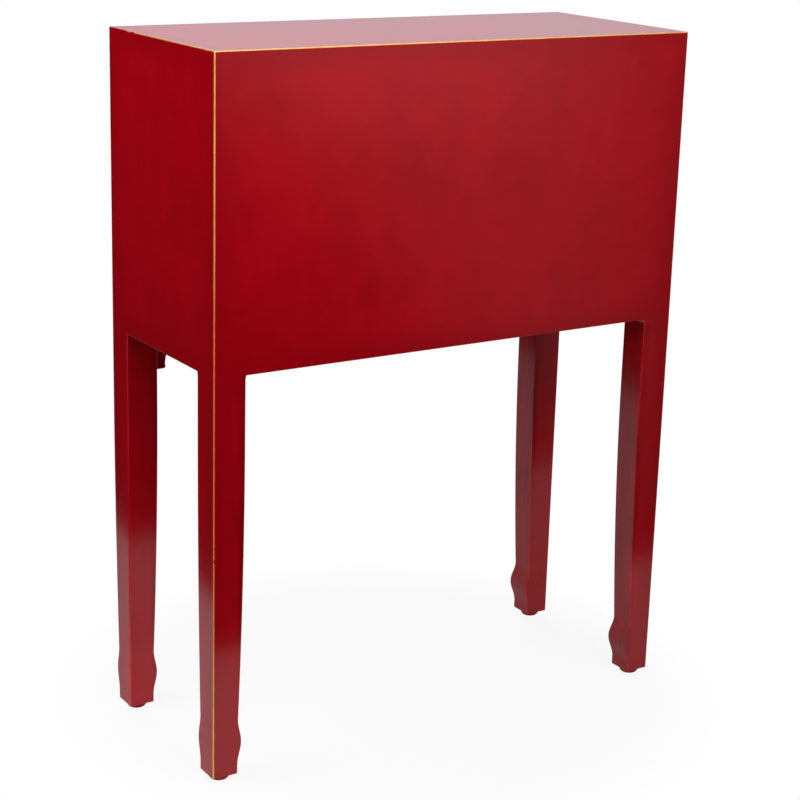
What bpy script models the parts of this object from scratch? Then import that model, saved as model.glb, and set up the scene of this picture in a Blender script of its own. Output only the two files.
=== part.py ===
"""Red lacquer console table with one drawer over a pair of doors.

Metres, +Z up, with the front facing -Y. The origin lies on the floor below the middle of
the whole piece, pulls included. Left and right are as seen from the front.
"""

import math

import bmesh
import bpy
from mathutils import Matrix, Vector

# Overall sizes of the wooden case
WIDTH = 0.640
DEPTH = 0.260
HEIGHT = 0.830  # from the foot of a leg to the table surface
CASE_HEIGHT = 0.353  # from the case's underside to the table surface

# Room between pieces
SEAT_GAP = 0.0003  # pieces that sit on or against each other
DRAWER_GAP = 0.0015  # round the drawer front and beside the drawer box
DOOR_GAP = 0.0015  # above and below the doors
MEETING_GAP = 0.0020  # between the two doors

# Legs, which run up as corner posts
POST = 0.0395
TAPER_DROP = 0.077  # from the case's underside to where the taper starts
ANKLE_HEIGHT = 0.068  # where the hoof starts to swell
HOOF_HEIGHT = 0.040  # where the hoof is widest
TOE_HEIGHT = 0.011  # the foot is straight below this
TAPER_POWER = 2.0
INNER_ANKLE = 0.0069  # how far the inner side face draws in at the ankle, hoof and toe
INNER_HOOF = 0.0028
INNER_TOE = 0.0076
FRONT_ANKLE = 0.0065  # the same for the front face
FRONT_HOOF = 0.0021
FRONT_TOE = 0.0069
TAPER_STEPS = 9
HOOF_STEPS = 6
TOE_STEPS = 6

# Glides under the feet
GLIDE_RADIUS = 0.012
GLIDE_HEIGHT = 0.007
GLIDE_EDGE = 0.0045  # the radius of the lower rim
GLIDE_EDGE_STEPS = 4

# Boards and rails of the case
TOP_THICKNESS = 0.018
PANEL_THICKNESS = 0.012
RAIL_STEP = 0.0045  # the rails stop this far short of the back of the front posts
TOP_RAIL_HEIGHT = 0.015
MIDDLE_RAIL_HEIGHT = 0.020
BOTTOM_RAIL_HEIGHT = 0.020
DRAWER_OPENING_HEIGHT = 0.085
DUST_BOARD_THICKNESS = 0.012
BOTTOM_BOARD_THICKNESS = 0.014

# Corner brackets under the bottom rail
BRACKET_THICKNESS = 0.010
BRACKET_DROP = 0.057
BRACKET_REACH = 0.078
BRACKET_END = 0.006  # height of the blunt tip under the rail
BRACKET_NOSE_REACH = 0.0220
BRACKET_NOSE_RADIUS = 0.0032
BRACKET_NOSE_TURN = 35.0  # degrees that the nose curls back past its furthest point
BRACKET_CUSP_REACH = 0.047
BRACKET_CUSP_DROP = 0.021
BRACKET_STEPS = 6

# Drawer
DRAWER_FRONT_THICKNESS = 0.018
DRAWER_SIDE_THICKNESS = 0.010
DRAWER_BACK_THICKNESS = 0.010
DRAWER_BOTTOM_THICKNESS = 0.006
DRAWER_SIDE_HEIGHT = 0.066
DRAWER_BACK_DROP = 0.008  # the back's top edge below the sides' top edges
DRAWER_BACK_ROOM = 0.023  # between the closed drawer and the back panel
GROOVE_RISE = 0.007  # from the drawer's lower edge to the groove for its bottom
GROOVE_DEPTH = 0.004
GUIDE_HEIGHT = 0.030
STOP_DEPTH = 0.012
STOP_LENGTH = 0.040
STOP_SPREAD = 0.150  # from the middle to each stop
STOP_CLEARANCE = 0.002  # below the drawer's bottom board

# Doors and their magnetic catch
DOOR_THICKNESS = 0.016
CATCH_LENGTH = 0.048
CATCH_HEIGHT = 0.012
CATCH_DEPTH = 0.014
CATCH_EDGE = 0.0015
STRIKE_LENGTH = 0.014
STRIKE_HEIGHT = 0.0085
STRIKE_THICKNESS = 0.0012
STRIKE_INSET = 0.006  # from the door's meeting edge

# Butt hinges
HINGE_HEIGHT = 0.045
HINGE_FROM_END = 0.022  # from the door's end to the hinge
LEAF_THICKNESS = 0.0009
LEAF_ROOM = 0.0006  # between the two closed leaves
LEAF_DEPTH = 0.0135
KNUCKLE_RADIUS = 0.0028
KNUCKLE_PLAY = 0.0004
KNUCKLE_TAB_STEP = 0.0005  # the leaf's tab stops this short of the knuckle's ends
HINGE_PIN_RADIUS = 0.0011
FINIAL_RADIUS = 0.0023

# Brass eyes, plates and pulls
PLATE_THICKNESS = 0.0012
PULL_ROD_RADIUS = 0.0020
EYE_PLAY = 0.0004
EYE_REACH = 0.0095  # from the wood to the cross hole
EYE_HEAD_RADIUS = 0.0046
EYE_NECK_RADIUS = 0.0026
EYE_COLLAR_RADIUS = 0.0042
EYE_COLLAR_HEIGHT = 0.0012
EYE_SHANK_RADIUS = 0.0016
EYE_SHANK_LENGTH = 0.011
DOOR_PLATE_RADIUS = 0.042
DOOR_PLATE_INSET = 0.0005  # from the door's meeting edge
DOOR_EYE_OFFSET = 0.0175  # from the middle of the table
DOOR_EYE_RISE = 0.012  # above the middle of the door plate
RING_BAR_HALF = 0.0065
RING_CORNER_RADIUS = 0.003
RING_BOWL_RADIUS = 0.012
RING_BOWL_DROP = 0.021
DRAWER_PLATE_HALF_LENGTH = 0.050
DRAWER_PLATE_HALF_HEIGHT = 0.015
DRAWER_PLATE_CORNER = 0.005
BAIL_EYE_SPREAD = 0.034  # from the middle to each eye
BAIL_END = 0.0055  # how far the rod's ends pass the middle of the eyes, inwards
BAIL_SHOULDER = 0.007  # straight rod outside the middle of each eye
BAIL_BEND_RADIUS = 0.005
BAIL_FOOT_RADIUS = 0.014
BAIL_DROP = 0.028
BAIL_RISE = 0.008  # of its axis above the middle of the drawer front

# How finely round shapes are divided
ROUND_STEPS = 16
DISC_STEPS = 24
BEND_STEPS = 5
BOWL_STEPS = 12
ROD_BEVEL_RESOLUTION = 2
HALF_FACET = math.pi / ROUND_STEPS  # turns a bore so that its edges miss those it cuts
SHARP_ANGLE = math.radians(30)
MERGE_DISTANCE = 0.000001

# Places that follow from the sizes above
HARDWARE_PROUD = EYE_REACH + EYE_HEAD_RADIUS
BACK_Y = (DEPTH + HARDWARE_PROUD) / 2
FRONT_Y = BACK_Y - DEPTH
HALF_WIDTH = WIDTH / 2
HALF_OPENING = HALF_WIDTH - POST
RAIL_DEPTH = POST - RAIL_STEP
FOOT_Z = GLIDE_HEIGHT + SEAT_GAP
CASE_UNDERSIDE = HEIGHT - CASE_HEIGHT
TAPER_START = CASE_UNDERSIDE - TAPER_DROP
CASE_Z = FOOT_Z + CASE_UNDERSIDE
TOP_Z = FOOT_Z + HEIGHT
TOP_UNDERSIDE = TOP_Z - TOP_THICKNESS
POST_TOP = TOP_UNDERSIDE - SEAT_GAP
DRAWER_CEILING = POST_TOP - TOP_RAIL_HEIGHT
DRAWER_FLOOR = DRAWER_CEILING - DRAWER_OPENING_HEIGHT
DOOR_HEAD = DRAWER_FLOOR - MIDDLE_RAIL_HEIGHT
DOOR_SILL = CASE_Z + BOTTOM_RAIL_HEIGHT
BEHIND_POST = FRONT_Y + POST + SEAT_GAP
BEFORE_BACK_POST = BACK_Y - POST - SEAT_GAP
PANEL_INSIDE_X = HALF_WIDTH - PANEL_THICKNESS - SEAT_GAP
PANEL_INSIDE_Y = BACK_Y - PANEL_THICKNESS - SEAT_GAP
DRAWER_HALF = HALF_OPENING - DRAWER_GAP
DRAWER_INSIDE = DRAWER_HALF - DRAWER_SIDE_THICKNESS
DRAWER_BACK_FACE = FRONT_Y + DRAWER_FRONT_THICKNESS
DRAWER_END = BACK_Y - PANEL_THICKNESS - DRAWER_BACK_ROOM
DRAWER_BASE = DRAWER_FLOOR + SEAT_GAP
DRAWER_SIDE_TOP = DRAWER_BASE + DRAWER_SIDE_HEIGHT
GROOVE_Z = DRAWER_BASE + GROOVE_RISE
GROOVE_TOP = GROOVE_Z + DRAWER_BOTTOM_THICKNESS + 2 * SEAT_GAP
DRAWER_MIDDLE_Z = (DRAWER_FLOOR + DRAWER_CEILING) / 2
HINGE_GAP = 2 * (LEAF_THICKNESS + SEAT_GAP) + LEAF_ROOM
HINGE_X = HALF_OPENING - HINGE_GAP / 2
HINGE_Y = FRONT_Y - KNUCKLE_RADIUS - SEAT_GAP
KNUCKLE_BORE = HINGE_PIN_RADIUS + SEAT_GAP
KNUCKLE_HEIGHT = (HINGE_HEIGHT - 2 * KNUCKLE_PLAY) / 3
DOOR_LOW = DOOR_SILL + DOOR_GAP
DOOR_HIGH = DOOR_HEAD - DOOR_GAP
DOOR_MIDDLE_Z = (DOOR_LOW + DOOR_HIGH) / 2
PLATE_FACE_Y = FRONT_Y - SEAT_GAP - PLATE_THICKNESS
PULL_AXIS_Y = FRONT_Y - EYE_REACH
DOOR_PULL_Z = DOOR_MIDDLE_Z + DOOR_EYE_RISE
BAIL_Z = DRAWER_MIDDLE_Z + BAIL_RISE

SIDES = {"left": -1, "right": 1}


class Body:
    """An empty that carries the pieces of one body, standing on the body's own axis."""

    def __init__(self, name, place, carrier=None):
        self.place = Vector(place)
        self.empty = bpy.data.objects.new(name, None)
        self.empty.empty_display_size = POST
        bpy.context.collection.objects.link(self.empty)
        self.empty.parent = carrier.empty if carrier else None
        self.empty.location = self.place - (carrier.place if carrier else Vector())


def clear_scene():
    for item in list(bpy.data.objects):
        bpy.data.objects.remove(item, do_unlink=True)


def finish(name, colour, roughness, metallic=0.0):
    """A Principled material of one colour."""
    made = bpy.data.materials.new(name)
    made.use_nodes = True
    shader = made.node_tree.nodes["Principled BSDF"]
    shader.inputs["Base Color"].default_value = (*colour, 1.0)
    shader.inputs["Roughness"].default_value = roughness
    shader.inputs["Metallic"].default_value = metallic
    made.diffuse_color = (*colour, 1.0)
    return made


def link_object(name, data, body):
    made = bpy.data.objects.new(name, data)
    bpy.context.collection.objects.link(made)
    made.parent = body.empty
    return made


def mesh_object(name, shape, body):
    """Turn a shape in world places into an object whose origin is its body's empty."""
    bmesh.ops.translate(shape, verts=shape.verts, vec=-body.place)
    bmesh.ops.recalc_face_normals(shape, faces=shape.faces)
    mesh = bpy.data.meshes.new(name)
    shape.to_mesh(mesh)
    shape.free()
    mesh.shade_smooth()
    mesh.set_sharp_from_angle(angle=SHARP_ANGLE)
    return link_object(name, mesh, body)


def piece(name, shape, look, body):
    made = mesh_object(name, shape, body)
    made.data.materials.append(look)
    return made


def helper(name, shape, body):
    """A shape that only cuts or joins another one."""
    made = mesh_object(name, shape, body)
    made.hide_render = True
    made.display_type = "WIRE"
    return made


def combine(target, other, operation):
    step = target.modifiers.new(other.name, "BOOLEAN")
    step.operation = operation
    step.solver = "EXACT"
    step.object = other


def box(low, high):
    shape = bmesh.new()
    low, high = Vector(low), Vector(high)
    size = Matrix.Diagonal((*(high - low), 1.0))
    bmesh.ops.create_cube(shape, size=1.0, matrix=Matrix.Translation((low + high) / 2) @ size)
    return shape


def extruded(corners, travel):
    """A flat outline of 3-D corners, extruded by a vector."""
    shape = bmesh.new()
    face = shape.faces.new([shape.verts.new(corner) for corner in corners])
    made = bmesh.ops.extrude_face_region(shape, geom=[face])["geom"]
    moved = [item for item in made if isinstance(item, bmesh.types.BMVert)]
    bmesh.ops.translate(shape, verts=moved, vec=Vector(travel))
    return shape


def loft(sections):
    """A solid through sections of equal corner count, lowest first."""
    shape = bmesh.new()
    top = shape.faces.new([shape.verts.new(corner) for corner in sections[0]])
    for section in sections[1:]:
        made = bmesh.ops.extrude_face_region(shape, geom=[top, *top.edges])["geom"]
        top = next(item for item in made if isinstance(item, bmesh.types.BMFace))
        for vert, corner in zip(top.verts, section):
            vert.co = corner
    return shape


def turned(profile, base, direction, steps=ROUND_STEPS, closed=False, first_turn=0.0):
    """A profile of (radius, height) points spun about the line from base along direction."""
    shape = bmesh.new()
    base, direction = Vector(base), Vector(direction)
    outward = Matrix.Rotation(first_turn, 3, direction) @ direction.orthogonal().normalized()
    verts = [shape.verts.new(base + outward * r + direction * h) for r, h in profile]
    edges = [shape.edges.new(pair) for pair in zip(verts, verts[1:])]
    if closed:
        edges.append(shape.edges.new((verts[-1], verts[0])))
    bmesh.ops.spin(
        shape, geom=verts + edges, cent=base, axis=direction, angle=2 * math.pi, steps=steps
    )
    bmesh.ops.remove_doubles(shape, verts=shape.verts, dist=MERGE_DISTANCE)
    return shape


def merge(shapes):
    """One shape that holds several."""
    whole = shapes[0]
    for other in shapes[1:]:
        mesh = bpy.data.meshes.new("merged")
        other.to_mesh(mesh)
        other.free()
        whole.from_mesh(mesh)
        bpy.data.meshes.remove(mesh)
    return whole


def arc(centre, radius, start, end, steps):
    """Points of a circle from one angle to another, in degrees."""
    turns = [math.radians(start + (end - start) * i / steps) for i in range(steps + 1)]
    return [(centre[0] + radius * math.cos(t), centre[1] + radius * math.sin(t)) for t in turns]


def rod(name, outline, axis_place, look, body, closed):
    """A round rod along an outline of (x, z) points in the plane of its axis."""
    curve = bpy.data.curves.new(name, "CURVE")
    curve.dimensions = "3D"
    curve.bevel_depth = PULL_ROD_RADIUS
    curve.bevel_resolution = ROD_BEVEL_RESOLUTION
    curve.use_fill_caps = True
    spline = curve.splines.new("POLY")
    spline.points.add(len(outline) - 1)
    offset = Vector(axis_place) - body.place
    for point, (x, z) in zip(spline.points, outline):
        point.co = (*(offset + Vector((x, 0.0, z))), 1.0)
    spline.use_cyclic_u = closed
    curve.materials.append(look)
    return link_object(name, curve, body)


def eased(low, high, share):
    """A value between two others that leaves the first and reaches the second gently."""
    return low + (high - low) * (1 - math.cos(math.pi * share)) / 2


def leg_recess(height, ankle, hoof, toe):
    """How far a shaped face draws in at a height above the foot."""
    if height >= TAPER_START:
        return 0.0
    if height >= ANKLE_HEIGHT:
        return ankle * ((TAPER_START - height) / (TAPER_START - ANKLE_HEIGHT)) ** TAPER_POWER
    if height >= HOOF_HEIGHT:
        return eased(hoof, ankle, (height - HOOF_HEIGHT) / (ANKLE_HEIGHT - HOOF_HEIGHT))
    if height >= TOE_HEIGHT:
        return eased(toe, hoof, (height - TOE_HEIGHT) / (HOOF_HEIGHT - TOE_HEIGHT))
    return toe


def leg_heights():
    """Heights above the foot where a leg has a section, lowest first."""
    stretches = [
        (TOE_HEIGHT, HOOF_HEIGHT, TOE_STEPS),
        (HOOF_HEIGHT, ANKLE_HEIGHT, HOOF_STEPS),
        (ANKLE_HEIGHT, TAPER_START, TAPER_STEPS),
    ]
    heights = [low + (high - low) * i / n for low, high, n in stretches for i in range(n)]
    return [0.0] + heights + [TAPER_START, POST_TOP - FOOT_Z]


def leg_shape(side, back_face):
    """A post whose inner side face and front face draw in towards a hoofed foot."""
    outer = side * HALF_WIDTH
    sections = []
    for height in leg_heights():
        inner = side * (HALF_WIDTH - POST + leg_recess(height, INNER_ANKLE, INNER_HOOF, INNER_TOE))
        front = back_face - POST + leg_recess(height, FRONT_ANKLE, FRONT_HOOF, FRONT_TOE)
        ends = [(outer, front), (outer, back_face), (inner, back_face), (inner, front)]
        sections.append([(x, y, FOOT_Z + height) for x, y in ends])
    return loft(sections)


def glide_shape(side, back_face):
    """A round pad with a rounded lower rim, under the middle of a foot."""
    x = side * (HALF_WIDTH - (POST - INNER_TOE) / 2)
    y = back_face - (POST - FRONT_TOE) / 2
    rim = arc((GLIDE_RADIUS - GLIDE_EDGE, GLIDE_EDGE), GLIDE_EDGE, -90.0, 0.0, GLIDE_EDGE_STEPS)
    profile = [(0.0, 0.0), *rim, (GLIDE_RADIUS, GLIDE_HEIGHT), (0.0, GLIDE_HEIGHT)]
    return turned(profile, (x, y, 0.0), (0.0, 0.0, 1.0), DISC_STEPS)


def add_legs(case, lacquer, pad):
    for end, back_face in {"front": FRONT_Y + POST, "back": BACK_Y}.items():
        for name, side in SIDES.items():
            piece(f"leg_{end}_{name}", leg_shape(side, back_face), lacquer, case)
            piece(f"glide_{end}_{name}", glide_shape(side, back_face), pad, case)


def add_panels(case, lacquer):
    """The top board, and the back and side panels, flush with the posts."""
    low = (-HALF_WIDTH, FRONT_Y, TOP_UNDERSIDE)
    piece("top_board", box(low, (HALF_WIDTH, BACK_Y, TOP_Z)), lacquer, case)
    half = HALF_OPENING - SEAT_GAP
    low = (-half, BACK_Y - PANEL_THICKNESS, CASE_Z)
    piece("back_panel", box(low, (half, BACK_Y, POST_TOP)), lacquer, case)
    for name, side in SIDES.items():
        ends = sorted((side * HALF_WIDTH, side * (HALF_WIDTH - PANEL_THICKNESS)))
        low = (ends[0], BEHIND_POST, CASE_Z)
        high = (ends[1], BEFORE_BACK_POST, POST_TOP)
        piece(f"side_panel_{name}", box(low, high), lacquer, case)


def add_rails(case, lacquer):
    """The three front rails between the front posts."""
    half = HALF_OPENING - SEAT_GAP
    spans = {
        "top_rail": (DRAWER_CEILING, POST_TOP),
        "middle_rail": (DOOR_HEAD, DRAWER_FLOOR),
        "bottom_rail": (CASE_Z, DOOR_SILL),
    }
    for name, (low, high) in spans.items():
        shape = box((-half, FRONT_Y, low), (half, FRONT_Y + RAIL_DEPTH, high))
        piece(name, shape, lacquer, case)


def board_shape(top, thickness):
    """A level board inside the case, notched round the four posts."""
    inner = HALF_OPENING - SEAT_GAP
    front = FRONT_Y + RAIL_DEPTH + SEAT_GAP
    half = [
        (inner, front),
        (inner, BEHIND_POST),
        (PANEL_INSIDE_X, BEHIND_POST),
        (PANEL_INSIDE_X, BEFORE_BACK_POST),
        (inner, BEFORE_BACK_POST),
        (inner, PANEL_INSIDE_Y),
    ]
    outline = half + [(-x, y) for x, y in reversed(half)]
    corners = [(x, y, top - thickness) for x, y in outline]
    return extruded(corners, (0.0, 0.0, thickness))


def add_boards(case, wood):
    piece("dust_board", board_shape(DRAWER_FLOOR, DUST_BOARD_THICKNESS), wood, case)
    piece("bottom_board", board_shape(DOOR_SILL, BOTTOM_BOARD_THICKNESS), wood, case)


def bracket_outline():
    """(reach, drop) points of a bracket: reach from the leg, drop below the rail."""
    nose = arc(
        (BRACKET_NOSE_REACH, BRACKET_DROP - BRACKET_NOSE_RADIUS),
        BRACKET_NOSE_RADIUS,
        90.0,
        -BRACKET_NOSE_TURN,
        BRACKET_STEPS,
    )
    start = nose[-1]
    cusp = (BRACKET_CUSP_REACH, BRACKET_CUSP_DROP)
    tip = (BRACKET_REACH, BRACKET_END)
    sweeps = hollow(start, cusp) + hollow(cusp, tip)[1:]
    return [(0.0, 0.0), (0.0, BRACKET_DROP)] + nose + sweeps[1:] + [(BRACKET_REACH, 0.0)]


def hollow(start, end):
    """A quarter ellipse that leaves start along the drop and reaches end along the reach."""
    wide, tall = end[0] - start[0], start[1] - end[1]
    turns = [math.pi / 2 * i / BRACKET_STEPS for i in range(BRACKET_STEPS + 1)]
    return [(end[0] - wide * math.cos(t), start[1] - tall * math.sin(t)) for t in turns]


def add_brackets(case, lacquer):
    rail_underside = CASE_Z - SEAT_GAP
    for name, side in SIDES.items():
        corners = [
            (side * (HALF_OPENING - SEAT_GAP - reach), FRONT_Y, rail_underside - drop)
            for reach, drop in bracket_outline()
        ]
        shape = extruded(corners, (0.0, BRACKET_THICKNESS, 0.0))
        piece(f"bracket_{name}", shape, lacquer, case)


def add_drawer_guides(case, wood):
    """Strips that steer the drawer box, and blocks that stop its front flush."""
    for name, side in SIDES.items():
        ends = sorted((side * HALF_OPENING, side * PANEL_INSIDE_X))
        low = (ends[0], BEHIND_POST, DRAWER_BASE)
        high = (ends[1], BEFORE_BACK_POST, DRAWER_BASE + GUIDE_HEIGHT)
        piece(f"drawer_guide_{name}", box(low, high), wood, case)
        middle = side * STOP_SPREAD
        front = DRAWER_BACK_FACE + SEAT_GAP
        low = (middle - STOP_LENGTH / 2, front, DRAWER_BASE)
        high = (middle + STOP_LENGTH / 2, front + STOP_DEPTH, GROOVE_Z - STOP_CLEARANCE)
        piece(f"drawer_stop_{name}", box(low, high), wood, case)


def drawer_side_shape(side):
    """A drawer side with the groove that takes the bottom board."""
    inner, deep, outer = DRAWER_INSIDE, DRAWER_INSIDE + GROOVE_DEPTH, DRAWER_HALF
    outline = [
        (outer, DRAWER_BASE),
        (outer, DRAWER_SIDE_TOP),
        (inner, DRAWER_SIDE_TOP),
        (inner, GROOVE_TOP),
        (deep, GROOVE_TOP),
        (deep, GROOVE_Z),
        (inner, GROOVE_Z),
        (inner, DRAWER_BASE),
    ]
    start = DRAWER_BACK_FACE + SEAT_GAP
    corners = [(side * x, start, z) for x, z in outline]
    return extruded(corners, (0.0, DRAWER_END - start, 0.0))


def add_drawer_box(drawer, lacquer, wood):
    low = (-DRAWER_HALF, FRONT_Y, DRAWER_FLOOR + DRAWER_GAP)
    high = (DRAWER_HALF, DRAWER_BACK_FACE, DRAWER_CEILING - DRAWER_GAP)
    front = piece("drawer_front", box(low, high), lacquer, drawer)
    groove_half = DRAWER_INSIDE + GROOVE_DEPTH
    groove_front = DRAWER_BACK_FACE - GROOVE_DEPTH
    low = (-groove_half, groove_front, GROOVE_Z)
    high = (groove_half, DRAWER_BACK_FACE + GROOVE_DEPTH, GROOVE_TOP)
    combine(front, helper("drawer_front_groove", box(low, high), drawer), "DIFFERENCE")
    for name, side in SIDES.items():
        piece(f"drawer_side_{name}", drawer_side_shape(side), wood, drawer)
    half = groove_half - SEAT_GAP
    bottom_top = GROOVE_TOP - SEAT_GAP
    low = (-half, groove_front + SEAT_GAP, GROOVE_Z + SEAT_GAP)
    piece("drawer_bottom", box(low, (half, DRAWER_END, bottom_top)), wood, drawer)
    half = DRAWER_INSIDE - SEAT_GAP
    low = (-half, DRAWER_END - DRAWER_BACK_THICKNESS, bottom_top + SEAT_GAP)
    high = (half, DRAWER_END, DRAWER_SIDE_TOP - DRAWER_BACK_DROP)
    piece("drawer_back", box(low, high), wood, drawer)
    return front


def eye_shape(x, z):
    """A turned eye: a shank in the wood, a collar on the plate, a neck and a round head."""
    collar = FRONT_Y - PLATE_FACE_Y + SEAT_GAP
    neck_turn = -math.degrees(math.acos(EYE_NECK_RADIUS / EYE_HEAD_RADIUS))
    profile = [
        (0.0, -EYE_SHANK_LENGTH),
        (EYE_SHANK_RADIUS, -EYE_SHANK_LENGTH),
        (EYE_SHANK_RADIUS, collar),
        (EYE_COLLAR_RADIUS, collar),
        (EYE_COLLAR_RADIUS, collar + EYE_COLLAR_HEIGHT),
        (EYE_NECK_RADIUS, collar + EYE_COLLAR_HEIGHT),
    ]
    profile += arc((0.0, EYE_REACH), EYE_HEAD_RADIUS, neck_turn, 90.0, BEND_STEPS)
    return turned(profile, (x, FRONT_Y, z), (0.0, -1.0, 0.0))


def round_bar(radius, start, end, first_turn=0.0):
    """A plain round bar from one point to another."""
    start, end = Vector(start), Vector(end)
    length = (end - start).length
    profile = [(0.0, 0.0), (radius, 0.0), (radius, length), (0.0, length)]
    return turned(profile, start, (end - start).normalized(), first_turn=first_turn)


def add_eye(name, x, z, wood_piece, plate, brass, body):
    """An eye in its hole through a plate and into the wood, with a cross hole for a rod."""
    eye = piece(name, eye_shape(x, z), brass, body)
    past_head = Vector((2 * EYE_HEAD_RADIUS, 0.0, 0.0))
    middle = Vector((x, PULL_AXIS_Y, z))
    bore_ends = (middle - past_head, middle + past_head)
    bore = round_bar(PULL_ROD_RADIUS + EYE_PLAY, *bore_ends, first_turn=HALF_FACET)
    combine(eye, helper(f"{name}_bore", bore, body), "DIFFERENCE")
    outside = (x, PLATE_FACE_Y - EYE_REACH, z)
    inside = (x, FRONT_Y + EYE_SHANK_LENGTH + SEAT_GAP, z)
    hole = helper(f"{name}_hole", round_bar(EYE_SHANK_RADIUS + SEAT_GAP, outside, inside), body)
    combine(wood_piece, hole, "DIFFERENCE")
    combine(plate, hole, "DIFFERENCE")


def plate_shape(outline):
    """A sheet brass plate against the front, from (x, z) points."""
    corners = [(x, PLATE_FACE_Y, z) for x, z in outline]
    return extruded(corners, (0.0, PLATE_THICKNESS, 0.0))


def drawer_plate_outline():
    """An oblong plate whose corners are hollowed by quarter circles."""
    long, tall, cut = DRAWER_PLATE_HALF_LENGTH, DRAWER_PLATE_HALF_HEIGHT, DRAWER_PLATE_CORNER
    quarters = [(long, tall, 270), (-long, tall, 360), (-long, -tall, 90), (long, -tall, 180)]
    outline = []
    for x, z, start in quarters:
        outline += arc((x, BAIL_Z + z), cut, start, start - 90, BEND_STEPS)
    return outline


def bail_outline():
    """(x, z) points of the drawer's bail, from one end in its eye to the other."""
    shoulder = BAIL_EYE_SPREAD + BAIL_SHOULDER
    side = shoulder + BAIL_BEND_RADIUS
    bend = arc((shoulder, -BAIL_BEND_RADIUS), BAIL_BEND_RADIUS, 90.0, 0.0, BEND_STEPS)
    foot_centre = (side - BAIL_FOOT_RADIUS, BAIL_FOOT_RADIUS - BAIL_DROP)
    foot = arc(foot_centre, BAIL_FOOT_RADIUS, 0.0, -90.0, BEND_STEPS)
    half = [(BAIL_EYE_SPREAD - BAIL_END, 0.0)] + bend + foot
    return half + [(-x, z) for x, z in reversed(half)]


def add_drawer_pull(drawer, bail, front, brass):
    plate = piece("drawer_plate", plate_shape(drawer_plate_outline()), brass, drawer)
    for name, side in SIDES.items():
        x = side * BAIL_EYE_SPREAD
        add_eye(f"drawer_eye_{name}", x, BAIL_Z, front, plate, brass, drawer)
    rod("drawer_bail", bail_outline(), bail.place, brass, bail, closed=False)


def door_plate_outline(side):
    """Half of a round plate that the two doors share."""
    edge = MEETING_GAP / 2 + DOOR_PLATE_INSET
    reach = math.degrees(math.acos(edge / DOOR_PLATE_RADIUS))
    half = arc((0.0, DOOR_MIDDLE_Z), DOOR_PLATE_RADIUS, -reach, reach, DISC_STEPS)
    return [(side * x, z) for x, z in half]


def ring_outline():
    """(x, z) points of a pear-shaped ring with a straight bar on its axis."""
    corner = (RING_BAR_HALF, -RING_CORNER_RADIUS)
    bowl = (0.0, -RING_BOWL_DROP)
    apart = math.hypot(corner[0] - bowl[0], corner[1] - bowl[1])
    slope = math.degrees(math.atan2(corner[1] - bowl[1], corner[0] - bowl[0]))
    # The flank is the common tangent of the corner's circle and the bowl's circle.
    flank = slope - math.degrees(math.acos((RING_BOWL_RADIUS - RING_CORNER_RADIUS) / apart))
    right = arc(corner, RING_CORNER_RADIUS, 90.0, flank, BEND_STEPS)
    below = arc(bowl, RING_BOWL_RADIUS, flank, -180.0 - flank, BOWL_STEPS)
    return right + below + [(-x, z) for x, z in reversed(right)]


def hinge_spans(low):
    """The height spans of the case leaf's two knuckles and of the door leaf's one."""
    high = low + HINGE_HEIGHT
    case_spans = [(low, low + KNUCKLE_HEIGHT), (high - KNUCKLE_HEIGHT, high)]
    middle = (low + KNUCKLE_HEIGHT + KNUCKLE_PLAY, high - KNUCKLE_HEIGHT - KNUCKLE_PLAY)
    return case_spans, [middle]


def leaf_outline(low, spans):
    """(y, z) points of a leaf, with a tab that reaches each of its own knuckles."""
    tab_y = HINGE_Y + (KNUCKLE_BORE + KNUCKLE_RADIUS) / 2
    high = low + HINGE_HEIGHT
    outline = [(FRONT_Y + LEAF_DEPTH, high), (FRONT_Y + LEAF_DEPTH, low), (FRONT_Y, low)]
    for start, end in spans:
        start, end = start + KNUCKLE_TAB_STEP, end - KNUCKLE_TAB_STEP
        outline += [(FRONT_Y, start), (tab_y, start), (tab_y, end), (FRONT_Y, end)]
    return outline + [(FRONT_Y, high)]


def leaf_piece(name, side, inward, low, spans, brass, body):
    """A leaf and its knuckles. A leaf with inward 1 lies on the door, with -1 on the post."""
    near = HINGE_X - inward * LEAF_ROOM / 2
    corners = [(side * near, y, z) for y, z in leaf_outline(low, spans)]
    shape = extruded(corners, (-side * inward * LEAF_THICKNESS, 0.0, 0.0))
    leaf = piece(name, shape, brass, body)
    rings = []
    for start, end in spans:
        profile = [
            (KNUCKLE_RADIUS, end - start),
            (KNUCKLE_RADIUS, 0.0),
            (KNUCKLE_BORE, 0.0),
            (KNUCKLE_BORE, end - start),
        ]
        base = (side * HINGE_X, HINGE_Y, start)
        rings.append(turned(profile, base, (0.0, 0.0, 1.0), closed=True))
    combine(leaf, helper(f"{name}_knuckles", merge(rings), body), "UNION")


def hinge_pin_shape(side, low):
    """A pin with a domed finial at each end, clear of the knuckles."""
    start, end = -SEAT_GAP, HINGE_HEIGHT + SEAT_GAP
    profile = arc((0.0, start), FINIAL_RADIUS, -90.0, 0.0, BEND_STEPS)
    profile += [(HINGE_PIN_RADIUS, start), (HINGE_PIN_RADIUS, end)]
    profile += arc((0.0, end), FINIAL_RADIUS, 0.0, 90.0, BEND_STEPS)
    return turned(profile, (side * HINGE_X, HINGE_Y, low), (0.0, 0.0, 1.0))


def add_hinges(name, side, case, door, brass):
    places = {
        "upper": DOOR_HIGH - HINGE_FROM_END - HINGE_HEIGHT,
        "lower": DOOR_LOW + HINGE_FROM_END,
    }
    for level, low in places.items():
        case_spans, door_spans = hinge_spans(low)
        stem = f"hinge_{name}_{level}"
        leaf_piece(f"{stem}_post_leaf", side, -1, low, case_spans, brass, case)
        leaf_piece(f"{stem}_door_leaf", side, 1, low, door_spans, brass, door)
        piece(f"{stem}_pin", hinge_pin_shape(side, low), brass, case)


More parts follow.
